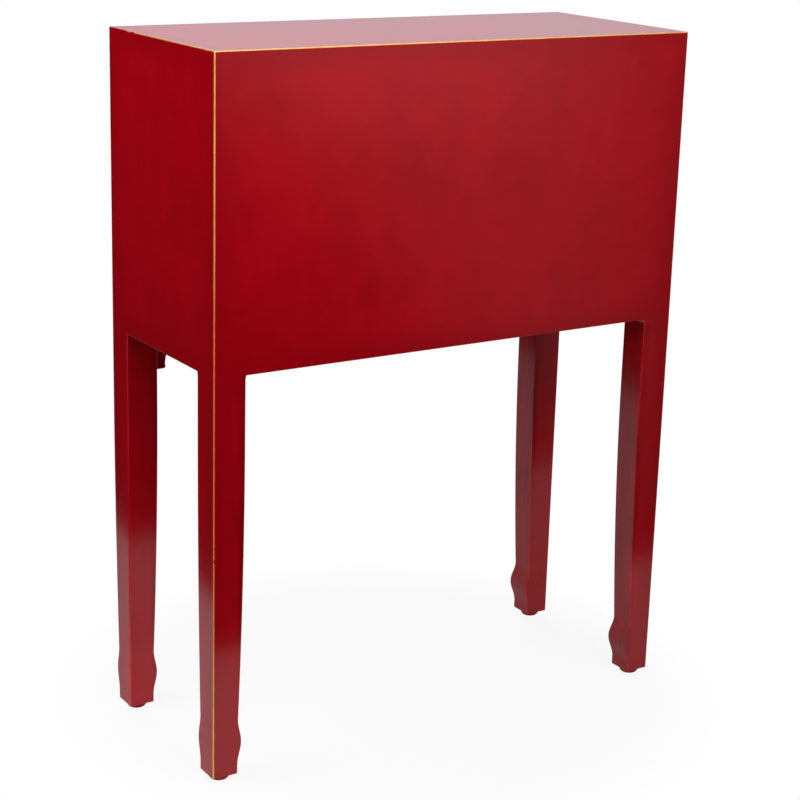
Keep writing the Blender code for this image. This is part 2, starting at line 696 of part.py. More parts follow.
def add_door(name, side, case, door, ring, looks):
    """One door with its half plate, eye, ring pull, strike plate and hinges."""
    lacquer, brass, steel = looks
    ends = sorted((side * MEETING_GAP / 2, side * (HALF_OPENING - HINGE_GAP)))
    low = (ends[0], FRONT_Y, DOOR_LOW)
    high = (ends[1], FRONT_Y + DOOR_THICKNESS, DOOR_HIGH)
    panel = piece(f"door_{name}", box(low, high), lacquer, door)
    plate = piece(f"door_plate_{name}", plate_shape(door_plate_outline(side)), brass, door)
    x = side * DOOR_EYE_OFFSET
    add_eye(f"door_eye_{name}", x, DOOR_PULL_Z, panel, plate, brass, door)
    rod(f"door_ring_{name}", ring_outline(), ring.place, brass, ring, closed=True)
    near = MEETING_GAP / 2 + STRIKE_INSET
    ends = sorted((side * near, side * (near + STRIKE_LENGTH)))
    back = FRONT_Y + DOOR_THICKNESS + SEAT_GAP
    middle = DOOR_HEAD - SEAT_GAP - CATCH_HEIGHT / 2
    low = (ends[0], back, middle - STRIKE_HEIGHT / 2)
    high = (ends[1], back + STRIKE_THICKNESS, middle + STRIKE_HEIGHT / 2)
    piece(f"door_strike_{name}", box(low, high), steel, door)
    add_hinges(name, side, case, door, brass)


def add_catch(case, plastic):
    """The magnetic catch under the middle rail, just behind both strike plates."""
    front = FRONT_Y + DOOR_THICKNESS + STRIKE_THICKNESS + 2 * SEAT_GAP
    back = front + CATCH_DEPTH
    top = DOOR_HEAD - SEAT_GAP
    bottom = top - CATCH_HEIGHT
    outline = [
        (front, top),
        (front, bottom + CATCH_EDGE),
        (front + CATCH_EDGE, bottom),
        (back - CATCH_EDGE, bottom),
        (back, bottom + CATCH_EDGE),
        (back, top),
    ]
    corners = [(-CATCH_LENGTH / 2, y, z) for y, z in outline]
    piece("door_catch", extruded(corners, (CATCH_LENGTH, 0.0, 0.0)), plastic, case)


def main():
    clear_scene()
    lacquer = finish("red_lacquer", (0.34, 0.006, 0.012), 0.32)
    wood = finish("bare_wood", (0.36, 0.20, 0.10), 0.65)
    brass = finish("aged_brass", (0.62, 0.42, 0.16), 0.35, 1.0)
    steel = finish("bright_steel", (0.56, 0.56, 0.58), 0.30, 1.0)
    plastic = finish("brown_plastic", (0.08, 0.04, 0.03), 0.50)
    pad = finish("dark_pad", (0.03, 0.03, 0.03), 0.60)

    case = Body("case_frame", (0.0, 0.0, 0.0))
    add_legs(case, lacquer, pad)
    add_panels(case, lacquer)
    add_rails(case, lacquer)
    add_boards(case, wood)
    add_brackets(case, lacquer)
    add_drawer_guides(case, wood)
    add_catch(case, plastic)

    drawer = Body("drawer_slide", (0.0, FRONT_Y, DRAWER_FLOOR), case)
    bail = Body("drawer_bail_axis", (0.0, PULL_AXIS_Y, BAIL_Z), drawer)
    front = add_drawer_box(drawer, lacquer, wood)
    add_drawer_pull(drawer, bail, front, brass)

    for name, side in SIDES.items():
        door = Body(f"door_{name}_axis", (side * HINGE_X, HINGE_Y, DOOR_LOW), case)
        ring_place = (side * DOOR_EYE_OFFSET, PULL_AXIS_Y, DOOR_PULL_Z)
        ring = Body(f"door_ring_{name}_axis", ring_place, door)
        add_door(name, side, case, door, ring, (lacquer, brass, steel))


main()
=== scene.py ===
"""Looks of the red lacquer console table, with its plain studio and its camera.

Metres, +Z up, the front facing -Y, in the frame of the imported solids. Left and right are as
seen from the front. Each class below models and dresses one sub-assembly of the table.
"""

from __future__ import annotations

import logging
import math
from dataclasses import dataclass
from enum import Enum, IntEnum
from typing import Callable, Sequence, Union

import bmesh
import bpy
from mathutils import Matrix, Vector


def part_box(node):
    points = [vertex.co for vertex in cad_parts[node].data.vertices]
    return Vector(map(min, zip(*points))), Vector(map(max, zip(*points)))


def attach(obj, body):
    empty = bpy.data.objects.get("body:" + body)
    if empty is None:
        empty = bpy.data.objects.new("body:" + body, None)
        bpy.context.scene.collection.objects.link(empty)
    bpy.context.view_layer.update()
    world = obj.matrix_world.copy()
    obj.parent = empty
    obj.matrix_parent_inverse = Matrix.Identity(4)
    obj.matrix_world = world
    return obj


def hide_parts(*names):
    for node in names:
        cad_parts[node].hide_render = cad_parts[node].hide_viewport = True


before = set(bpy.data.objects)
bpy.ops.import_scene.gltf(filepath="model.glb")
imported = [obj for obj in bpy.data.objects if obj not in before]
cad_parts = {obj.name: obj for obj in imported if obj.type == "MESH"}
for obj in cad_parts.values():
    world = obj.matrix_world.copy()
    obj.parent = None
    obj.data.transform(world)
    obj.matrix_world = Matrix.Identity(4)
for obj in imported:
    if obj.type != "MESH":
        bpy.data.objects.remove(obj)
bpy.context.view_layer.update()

LOG = logging.getLogger("console_table")

Colour = tuple[float, float, float]
Flat = tuple[float, float]
Point = tuple[float, float, float]
Span = tuple[float, float, float, float]  # where a fade starts and ends, and its values there
Socket = bpy.types.NodeSocket
Value = Union[Socket, float, Sequence[float]]
FaceTest = Callable[[Vector, Vector], bool]
EdgeTest = Callable[[Vector, Vector], bool]

TOUCH = 0.00003  # places closer than this count as the same
MERGE = 0.000003  # corners closer than this become one
SEED = 0.001  # size of the small plane that a traced line starts from
SLANT = 0.1  # a face leans towards an axis if that part of its normal is beyond this
ALIGNED = 0.9  # two directions are the same if their cosine is beyond this
STRAIGHT = 0.99  # the same, where eased strips beside a face must not count
ROUND_STRIPS = 3  # strips of a rounded edge
EASE_STRIPS = 2  # strips of an eased edge
EASE_ANGLE = 40.0  # degrees, on sawn and planed blocks
SHEET_ANGLE = 50.0  # degrees, where curved edges must stay as they are
ROD_ROUNDNESS = 5  # bevel resolution of a round rod
SMOOTH_ANGLE = math.radians(32)  # edges less sharp than this are shaded smoothly
FLAT_WEIGHT = 60  # how much wide faces steer the shading of the edges beside them
FULL_TURN = 2 * math.pi
HALF = 0.5
MIRROR_X = (-1.0, 1.0, 1.0)
UP = (0.0, 0.0, 1.0)
DOWN = (0.0, 0.0, -1.0)
RIGHTWARDS = (1.0, 0.0, 0.0)
LEFTWARDS = (-1.0, 0.0, 0.0)
FORWARDS = (0.0, -1.0, 0.0)  # out of the table's front
BACKWARDS = (0.0, 1.0, 0.0)
WHITE = (1.0, 1.0, 1.0)


class Choice(Enum):
    """A choice whose name is also a word in the names of nodes or finishes."""

    @property
    def word(self) -> str:
        """The choice as such names have it."""
        return self.name.lower()


class Side(Choice):
    """The table's two ends, as seen from the front."""

    LEFT = -1
    RIGHT = 1


class End(Choice):
    """The table's front and its back."""

    FRONT = -1
    BACK = 1


class Level(Choice):
    """Which hinge of a door is meant."""

    UPPER = 1
    LOWER = -1


class Leaf(Choice):
    """What a hinge's leaf is set in."""

    POST = 0
    DOOR = 1


class Grain(Choice):
    """Which way the fibres of a board run, as the stretch of its pattern."""

    ALONG_X = (0.06, 1.0, 1.0)
    ALONG_Y = (1.0, 0.06, 1.0)


class Slot(Enum):
    """The record's material slots."""

    LACQUER = "red_lacquer"
    WOOD = "bare_wood"
    BRASS = "aged_brass"
    STEEL = "bright_steel"
    PLASTIC = "brown_plastic"
    PAD = "dark_pad"


class Coat(IntEnum):
    """The order of the finishes on a lacquered piece."""

    LACQUER = 0
    GOLD = 1
    FADING_GOLD = 2
    WORN_GOLD = 3
    WOOD = 4
    # brighter lacquer on the legs' edges, a painted highlight
    RUBBED = 5


class Pick(Enum):
    """What edit mode selects."""

    EDGES = "EDGE"
    FACES = "FACE"


def near(first: float, second: float) -> bool:
    """Whether two places are the same."""
    return abs(first - second) < TOUCH


def leans(part: float) -> bool:
    """Whether a part of a normal is more than a trace."""
    return abs(part) > SLANT


def is_square(normal: Vector) -> bool:
    """Whether a face looks straight along one of the axes."""
    return max(abs(part) for part in normal) > 1.0 - TOUCH


def edges_at(
    x: float | None = None, y: float | None = None, z: float | None = None
) -> EdgeTest:
    """Make a test for edges whose two ends lie on the given planes.

    Args:
        x: The plane across the width, or None for any.
        y: The plane across the depth, or None for any.
        z: The level, or None for any.

    Returns:
        The test of an edge's two ends.
    """
    wanted = [(axis, value) for axis, value in enumerate((x, y, z)) if value is not None]

    def lies_there(point: Vector) -> bool:
        """Whether a point lies on all the planes."""
        return all(near(point[axis], value) for axis, value in wanted)

    return lambda start, end: lies_there(start) and lies_there(end)


def any_of(tests: Sequence[EdgeTest]) -> EdgeTest:
    """Make a test that an edge passes if it passes one of several."""
    return lambda start, end: any(test(start, end) for test in tests)


def facing(direction: Sequence[float], beyond: float = ALIGNED) -> FaceTest:
    """Make a test for faces that look one way.

    Args:
        direction: The way that they look.
        beyond: The least cosine between the normal and that way.

    Returns:
        The test of a face's middle and normal.
    """
    aim = Vector(direction)
    return lambda middle, normal: normal.dot(aim) > beyond


def arc(centre: Flat, radius: float, start: float, end: float, steps: int) -> list[Flat]:
    """Walk along a circle.

    Args:
        centre: The circle's middle.
        radius: Its radius.
        start: The first angle in degrees.
        end: The last angle in degrees.
        steps: How many chords the walk has.

    Returns:
        The points from first to last.
    """
    turns = [math.radians(start + (end - start) * i / steps) for i in range(steps + 1)]
    return [(centre[0] + radius * math.cos(t), centre[1] + radius * math.sin(t)) for t in turns]


def eased(low: float, high: float, share: float) -> float:
    """A value between two others that leaves the first and reaches the second gently."""
    return low + (high - low) * (1 - math.cos(math.pi * share)) / 2


@dataclass
class Workpiece:
    """A mesh on the bench, shaped by edit-mode operators on what code selects.

    Attributes:
        thing: The Blender object, at the origin with its place in its mesh.
    """

    thing: bpy.types.Object

    @classmethod
    def adopt(cls, name: str) -> Workpiece:
        """Take up the object that an operator has just added.

        Args:
            name: The piece's name.

        Returns:
            The piece, with its place and size applied to its mesh.
        """
        thing = bpy.context.active_object
        thing.name = name
        thing.data.name = name
        bpy.ops.object.transform_apply(location=True, rotation=True, scale=True)
        return cls(thing)

    @classmethod
    def block(cls, name: str, low: Sequence[float], high: Sequence[float]) -> Workpiece:
        """Add a block between two corners, as the start of a piece.

        Args:
            name: The piece's name.
            low: Its lowest corner.
            high: Its highest corner.

        Returns:
            The block.
        """
        bpy.ops.object.select_all(action="DESELECT")
        middle = (Vector(low) + Vector(high)) / 2
        size = Vector(high) - Vector(low)
        bpy.ops.mesh.primitive_cube_add(size=1.0, location=middle, scale=size)
        return cls.adopt(name)

    @classmethod
    def traced(cls, name: str, points: Sequence[Vector], closed: bool = False) -> Workpiece:
        """Draw a line through points by extruding one vertex.

        Args:
            name: The piece's name.
            points: The points in order.
            closed: Whether the last point joins the first.

        Returns:
            The line, still in edit mode.
        """
        bpy.ops.object.select_all(action="DESELECT")
        bpy.ops.mesh.primitive_plane_add(size=SEED, location=points[0])
        piece = cls.adopt(name)
        bpy.ops.object.mode_set(mode="EDIT")
        bpy.ops.mesh.select_mode(type="VERT")
        bpy.ops.mesh.select_all(action="SELECT")
        bpy.ops.mesh.merge(type="CENTER")
        for start, end in zip(points, points[1:]):
            bpy.ops.mesh.extrude_region_move(TRANSFORM_OT_translate={"value": end - start})
        if closed:
            shape = bmesh.from_edit_mesh(piece.thing.data)
            shape.verts.ensure_lookup_table()
            shape.verts[0].select_set(True)
            bmesh.update_edit_mesh(piece.thing.data)
            bpy.ops.mesh.edge_face_add()
        bpy.ops.mesh.select_all(action="SELECT")
        return piece

    @classmethod
    def plate(cls, name: str, outline: Sequence[Vector], travel: Sequence[float]) -> Workpiece:
        """Fill a traced outline and extrude it.

        Args:
            name: The piece's name.
            outline: The corners in order.
            travel: How far, and which way, the outline is extruded.

        Returns:
            The solid.
        """
        piece = cls.traced(name, outline, closed=True)
        bpy.ops.mesh.edge_face_add()
        bpy.ops.mesh.extrude_region_move(TRANSFORM_OT_translate={"value": Vector(travel)})
        return piece.close_outwards()

    @classmethod
    def turned(
        cls,
        name: str,
        profile: Sequence[Flat],
        base: Sequence[float],
        axis: Sequence[float],
        facets: int,
    ) -> Workpiece:
        """Spin a traced profile round a line.

        Args:
            name: The piece's name.
            profile: Points of radius and height, from pole to pole.
            base: Where the line starts.
            axis: The line's direction.
            facets: How many facets go round.

        Returns:
            The solid.
        """
        start, way = Vector(base), Vector(axis)
        outward = way.orthogonal().normalized()
        piece = cls.traced(name, [start + outward * r + way * h for r, h in profile])
        bpy.ops.mesh.spin(steps=facets, angle=FULL_TURN, center=start, axis=way)
        return piece.close_outwards()

    @classmethod
    def rod(
        cls,
        name: str,
        points: Sequence[Vector],
        radius: Callable[[Vector], float],
        closed: bool,
    ) -> Workpiece:
        """Make a round rod along a traced line.

        Args:
            name: The piece's name.
            points: The line's points in order.
            radius: The rod's radius at a point.
            closed: Whether the rod closes on itself.

        Returns:
            The rod as a mesh.
        """
        cls.traced(name, points, closed).hold()
        bpy.ops.object.convert(target="CURVE")
        curve = bpy.context.active_object.data
        curve.dimensions = "3D"
        curve.bevel_depth = 1.0
        curve.bevel_resolution = ROD_ROUNDNESS
        curve.use_fill_caps = True
        for point in curve.splines[0].points:
            point.radius = radius(point.co.to_3d())
        bpy.ops.object.convert(target="MESH")
        piece = cls(bpy.context.active_object)
        piece.enter(Pick.FACES)
        return piece.close_outwards()

    def hold(self) -> None:
        """Select this piece alone, in object mode."""
        if bpy.context.mode != "OBJECT":
            bpy.ops.object.mode_set(mode="OBJECT")
        bpy.ops.object.select_all(action="DESELECT")
        self.thing.select_set(True)
        bpy.context.view_layer.objects.active = self.thing

    def drop(self) -> None:
        """Take the piece off the bench."""
        bpy.data.objects.remove(self.thing, do_unlink=True)

    def enter(self, pick: Pick) -> bmesh.types.BMesh:
        """Open the piece in edit mode with nothing selected.

        Args:
            pick: Whether edges or faces are to be selected.

        Returns:
            The mesh under edit.
        """
        self.hold()
        bpy.ops.object.mode_set(mode="EDIT")
        bpy.ops.mesh.select_mode(type=pick.value)
        bpy.ops.mesh.select_all(action="DESELECT")
        return bmesh.from_edit_mesh(self.thing.data)

    def leave(self) -> Workpiece:
        """Go back to object mode."""
        bpy.ops.object.mode_set(mode="OBJECT")
        return self

    def close_outwards(self) -> Workpiece:
        """Merge what coincides in the open mesh and turn its faces outwards.

        Returns:
            The piece, in object mode.
        """
        bpy.ops.mesh.select_all(action="SELECT")
        bpy.ops.mesh.remove_doubles(threshold=MERGE)
        bpy.ops.mesh.normals_make_consistent(inside=False)
        return self.leave()

    def choose_faces(self, test: FaceTest) -> None:
        """Select faces in edit mode.

        Args:
            test: Says which faces, by middle and normal.
        """
        shape = self.enter(Pick.FACES)
        for face in shape.faces:
            if test(face.calc_center_median(), face.normal):
                face.select_set(True)
        bmesh.update_edit_mesh(self.thing.data)

    def choose_edges(self, test: EdgeTest) -> None:
        """Select edges in edit mode.

        Args:
            test: Says which edges, by their two ends.
        """
        shape = self.enter(Pick.EDGES)
        for edge in shape.edges:
            if test(edge.verts[0].co, edge.verts[1].co):
                edge.select_set(True)
        bmesh.update_edit_mesh(self.thing.data)

    def give(self, *finishes: Finish) -> Workpiece:
        """Give the piece its finishes.

        Args:
            finishes: The finishes, the first of them all over.

        Returns:
            The piece.
        """
        for finish in finishes:
            self.thing.data.materials.append(finish.material())
        return self

    def round_edges(
        self, test: EdgeTest, width: float, segments: int = ROUND_STRIPS, coat: int = -1
    ) -> Workpiece:
        """Round the edges that pass a test.

        Args:
            test: Says which edges, by their two ends.
            width: How far the rounding reaches from the edge.
            segments: How many strips it has.
            coat: The finish of the strips, or -1 for that of their neighbours.

        Returns:
            The piece.
        """
        self.choose_edges(test)
        bpy.ops.mesh.bevel(
            offset=width, segments=segments, affect="EDGES", clamp_overlap=True, material=coat
        )
        return self.leave()

    def keep_flat(self, test: FaceTest) -> Workpiece:
        """Keep the shading of some faces apart from their neighbours'.

        Args:
            test: Says which faces, by middle and normal.

        Returns:
            The piece.
        """
        self.choose_faces(test)
        bpy.ops.mesh.mark_sharp()
        return self.leave()

    def ease(
        self, width: float, segments: int = EASE_STRIPS, angle: float = EASE_ANGLE
    ) -> Workpiece:
        """Round every sharp edge.

        Args:
            width: How far the rounding reaches from the edge.
            segments: How many strips it has.
            angle: The least angle of a sharp edge in degrees.

        Returns:
            The piece.
        """
        return self.apply(
            "BEVEL",
            width=width,
            segments=segments,
            limit_method="ANGLE",
            angle_limit=math.radians(angle),
        )

    def paint(self, test: FaceTest, coat: int) -> Workpiece:
        """Put one of the piece's finishes on the faces that pass a test.

        Args:
            test: Says which faces, by middle and normal.
            coat: The finish's place among those of the piece.

        Returns:
            The piece.
        """
        self.choose_faces(test)
        self.thing.active_material_index = coat
        bpy.ops.object.material_slot_assign()
        return self.leave()

    def sink(self, test: FaceTest, border: float, travel: Sequence[float]) -> Workpiece:
        """Leave a border round the faces that pass a test and move what is inside it.

        Args:
            test: Says which faces, by middle and normal.
            border: The border's width.
            travel: How far, and which way, the inside moves.

        Returns:
            The piece.
        """
        self.choose_faces(test)
        bpy.ops.mesh.inset(thickness=border, use_even_offset=True)
        bpy.ops.mesh.extrude_region_move(TRANSFORM_OT_translate={"value": Vector(travel)})
        return self.leave()

    def apply(self, kind: str, **settings: object) -> Workpiece:
        """Add a modifier and apply it.

        Args:
            kind: The modifier's type.
            settings: Its settings by name.

        Returns:
            The piece.
        """
        self.hold()
        step = self.thing.modifiers.new(kind.lower(), kind)
        for key, value in settings.items():
            setattr(step, key, value)
        bpy.ops.object.modifier_apply(modifier=step.name)
        return self

    def carve(self, cutter: Workpiece) -> Workpiece:
        """Cut another piece's shape out of this one.

        Args:
            cutter: The other piece, which is used up.

        Returns:
            The piece.
        """
        self.apply("BOOLEAN", operation="DIFFERENCE", solver="EXACT", object=cutter.thing)
        cutter.drop()
        return self

    def join(self, *others: Workpiece) -> Workpiece:
        """Take other pieces into this one's mesh.

        Args:
            others: The other pieces, which are used up.

        Returns:
            The piece.
        """
        self.hold()
        for other in others:
            other.thing.select_set(True)
        bpy.ops.object.join()
        return self

    def copy(self, name: str) -> Workpiece:
        """Copy the piece with a mesh of its own.

        Args:
            name: The copy's name.

        Returns:
            The copy.
        """
        self.hold()
        bpy.ops.object.duplicate(linked=False)
        return Workpiece.adopt(name)

    def moved(self, travel: Sequence[float]) -> Workpiece:
        """Move the whole mesh.

        Args:
            travel: How far and which way.

        Returns:
            The piece.
        """
        self.enter(Pick.FACES)
        bpy.ops.mesh.select_all(action="SELECT")
        bpy.ops.transform.translate(value=Vector(travel))
        return self.leave()

    def twin(self) -> Workpiece:
        """Copy the piece and mirror the copy to the table's other end.

        Returns:
            The copy.
        """
        made = self.copy(self.thing.name)
        made.enter(Pick.FACES)
        bpy.ops.mesh.select_all(action="SELECT")
        bpy.ops.transform.resize(value=MIRROR_X, center_override=(0.0, 0.0, 0.0))
        bpy.ops.mesh.normals_make_consistent(inside=False)
        return made.leave()

    def soften(self) -> Workpiece:
        """Shade rounded edges smoothly and keep wide faces flat beside them.

        Returns:
            The piece.
        """
        self.hold()
        bpy.ops.object.shade_smooth_by_angle(angle=SMOOTH_ANGLE)
        return self.apply("WEIGHTED_NORMAL", keep_sharp=True, weight=FLAT_WEIGHT)

    def fit(self, node: str, body: str, slot: Slot) -> None:
        """Let the piece stand for a solid and move with a body.

        Args:
            node: The solid's name.
            body: The body's name.
            slot: The record's slot for its finish; not used.
        """
        self.soften()
        bpy.ops.object.material_slot_remove_unused()
        self.thing.name = f"{node}_look"
        self.thing.data.name = self.thing.name
        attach(self.thing, body)
        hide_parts(node)
        LOG.info("%s: %d faces on %s", self.thing.name, len(self.thing.data.polygons), body)

    def fit_pair(self, node: str, body: str, slot: Slot) -> None:
        """Let the piece and its twin stand for a solid on the right and the one on the left.

        Args:
            node: The right solid's name.
            body: The right body's name, or one that both move with.
            slot: The record's slot for their finish; passed on to fit, which does not use it.
        """
        right, left = Side.RIGHT.word, Side.LEFT.word
        twin = self.twin()
        self.fit(node, body, slot)
        twin.fit(node.replace(right, left), body.replace(right, left), slot)


@dataclass(frozen=True)
class Noise:
    """Cloud noise, mostly between 0.3 and 0.7.

    Attributes:
        scale: Patches to the metre.
        detail: Octaves of finer noise.
        rough: How strong the finer noise is.
        stretch: The scale along each axis, under 1 to draw the patches out.
    """

    scale: float
    detail: float = 3.0
    rough: float = 0.5
    stretch: Point = (1.0, 1.0, 1.0)


class Wiring:
    """A node tree while its nodes are laid and linked."""

    def __init__(self, tree: bpy.types.NodeTree) -> None:
        """Take up a node tree."""
        self.tree = tree

    def feed(self, socket: Socket, value: Value) -> None:
        """Link a socket to another, or set its value.

        Args:
            socket: The socket to feed.
            value: The other socket, or a number, vector or colour.
        """
        if isinstance(value, bpy.types.NodeSocket):
            self.tree.links.new(value, socket)
        elif socket.type == "RGBA":
            socket.default_value = (*value, 1.0)
        else:
            socket.default_value = value

    def feed_all(self, node: bpy.types.Node, values: dict[str, Value]) -> bpy.types.Node:
        """Feed several inputs of a node.

        Args:
            node: The node.
            values: A socket or a value for each input, named with underscores for spaces.

        Returns:
            The node.
        """
        for name, value in values.items():
            words = name.replace("_", " ").title().replace("Ior", "IOR")
            self.feed(node.inputs[words], value)
        return node

    def node(self, kind: str, **values: Value) -> bpy.types.Node:
        """Lay a node with some of its inputs fed."""
        return self.feed_all(self.tree.nodes.new(kind), values)

    def calc(self, operation: str, first: Value, second: Value = 0.0) -> Socket:
        """Work on one or two numbers.

        Args:
            operation: The Math node's operation.
            first: The first number.
            second: The second number, where the operation has one.

        Returns:
            The result.
        """
        made = self.node("ShaderNodeMath")
        made.operation = operation
        self.feed(made.inputs[0], first)
        self.feed(made.inputs[1], second)
        return made.outputs[0]

    def product(self, first: Socket, *others: Value) -> Socket:
        """Multiply numbers.

        Args:
            first: The first number.
            others: The other numbers.

        Returns:
            The product.
        """
        total = first
        for value in others:
            total = self.calc("MULTIPLY", total, value)
        return total

    def fade(
        self, value: Socket, start: float, end: float, low: float = 0.0, high: float = 1.0
    ) -> Socket:
        """Map a number smoothly from one stretch to another, and hold it at the ends.

        Args:
            value: The number to map.
            start: Where the result is low.
            end: Where the result is high.
            low: The result at the start.
            high: The result at the end.

        Returns:
            The mapped number.
        """
        made = self.node(
            "ShaderNodeMapRange", value=value, from_min=start, from_max=end, to_min=low, to_max=high
        )
        made.interpolation_type = "SMOOTHSTEP"
        return made.outputs["Result"]

    def apart(self, vector: Socket) -> tuple[Socket, Socket, Socket]:
        """Take a vector's three parts apart."""
        made = self.node("ShaderNodeSeparateXYZ", vector=vector)
        return made.outputs[0], made.outputs[1], made.outputs[2]

    def join_shaders(self, kind: str, first: Socket, second: Socket) -> bpy.types.Node:
        """Join two shaders.

        Args:
            kind: The joining node's type, whose last two inputs are shaders.
            first: The first shader.
            second: The second shader.

        Returns:
            The joining node.
        """
        made = self.node(kind)
        self.feed(made.inputs[-2], first)
        self.feed(made.inputs[-1], second)
        return made


class Recipe(Wiring):
    """The nodes of one material while they are laid."""

    def __init__(self, name: str) -> None:
        """Start a material with its shader and the piece's own coordinates.

        Args:
            name: The material's name.
        """
        self.material = bpy.data.materials.new(name)
        self.material.use_nodes = True
        super().__init__(self.material.node_tree)
        self.shader = self.tree.nodes["Principled BSDF"]
        self.place = self.node("ShaderNodeTexCoord").outputs["Object"]

    def to_shader(self, **values: Value) -> None:
        """Feed the shader's inputs, named with underscores for spaces."""
        self.feed_all(self.shader, values)

    def noise(self, kind: Noise) -> Socket:
        """Lay cloud noise over the piece.

        Args:
            kind: The noise.

        Returns:
            The noise at each place.
        """
        spread = self.node("ShaderNodeMapping", scale=kind.stretch, vector=self.place)
        made = self.node(
            "ShaderNodeTexNoise",
            vector=spread.outputs["Vector"],
            scale=kind.scale,
            detail=kind.detail,
            roughness=kind.rough,
        )
        return made.outputs["Fac"]

    def weigh(self, *parts: tuple[Socket, float]) -> Socket:
        """Add several numbers, each times its weight.

        Args:
            parts: Pairs of a number and its weight.

        Returns:
            The sum.
        """
        total = self.product(*parts[0])
        for part in parts[1:]:
            total = self.calc("ADD", total, self.product(*part))
        return total

    def ramp(self, factor: Socket, stops: Sequence[float], colours: Sequence[Colour]) -> Socket:
        """Colour a number.

        Args:
            factor: The number.
            stops: Where each colour is reached, in rising order.
            colours: The colours.

        Returns:
            The colour.
        """
        made = self.node("ShaderNodeValToRGB", fac=factor)
        bar = made.color_ramp
        while len(bar.elements) < len(stops):
            bar.elements.new(1.0)
        for element, position, colour in zip(bar.elements, stops, colours):
            element.position = position
            element.color = (*colour, 1.0)
        return made.outputs["Color"]

    def mix(self, factor: Socket, first: Value, second: Value) -> Socket:
        """Mix two colours.

        Args:
            factor: How much of the second shows.
            first: The first colour.
            second: The second colour.

        Returns:
            The mixed colour.
        """
        made = self.node("ShaderNodeMix", factor=factor)
        made.data_type = "RGBA"
        colours = [socket for socket in made.inputs if socket.type == "RGBA"]
        for socket, colour in zip(colours, (first, second)):
            self.feed(socket, colour)
        return next(socket for socket in made.outputs if socket.type == "RGBA")

    def split(self) -> tuple[Socket, Socket, Socket]:
        """Take the piece's coordinates apart."""
        return self.apart(self.place)

    def bump(self, height: Socket, strength: float, distance: float) -> None:
        """Raise the surface by a height.

        Args:
            height: The height, from 0 to 1.
            strength: How much of it shows.
            distance: The real height that 1 stands for.
        """
        made = self.node("ShaderNodeBump", height=height, strength=strength, distance=distance)
        self.to_shader(normal=made.outputs["Normal"])


@dataclass(frozen=True)
class CasePlan:
    """Places of the wooden case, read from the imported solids."""

    half_width: float
    front: float
    back: float
    foot: float
    case_low: float
    top_low: float
    top: float
    post: float
    corner_round: float = 0.0013
    rim_round: float = 0.0012
    edge_strips: int = 4
    small_round: float = 0.0008

    @classmethod
    def from_frame(cls) -> CasePlan:
        """Read the places from the boxes of the top board, a leg and the back panel.

        Returns:
            The places.
        """
        top_low, top_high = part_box("top_board")
        leg_low, leg_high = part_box("leg_back_right")
        return cls(
            half_width=top_high.x,
            front=top_low.y,
            back=top_high.y,
            foot=leg_low.z,
            case_low=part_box("back_panel")[0].z,
            top_low=top_low.z,
            top=top_high.z,
            post=leg_high.x - leg_low.x,
        )

    @property
    def half_opening(self) -> float:
        """From the middle to the inner faces of the posts."""
        return self.half_width - self.post

    @property
    def half_depth(self) -> float:
        """From the middle of the case's depth to its front and back."""
        return (self.back - self.front) / 2

    @property
    def middle_y(self) -> float:
        """The middle of the case's depth."""
        return (self.front + self.back) / 2


@dataclass(frozen=True)
class Finish:
    """A procedural finish, laid once as a material and then shared."""

    name: str

    def material(self) -> bpy.types.Material:
        """Find the finish's material, or lay it.

        Returns:
            The material.
        """
        known = bpy.data.materials.get(self.name)
        if known is None:
            recipe = Recipe(self.name)
            self.lay(recipe)
            known = recipe.material
        return known

    def lay(self, recipe: Recipe) -> None:
        """Lay the finish's nodes."""
        raise NotImplementedError


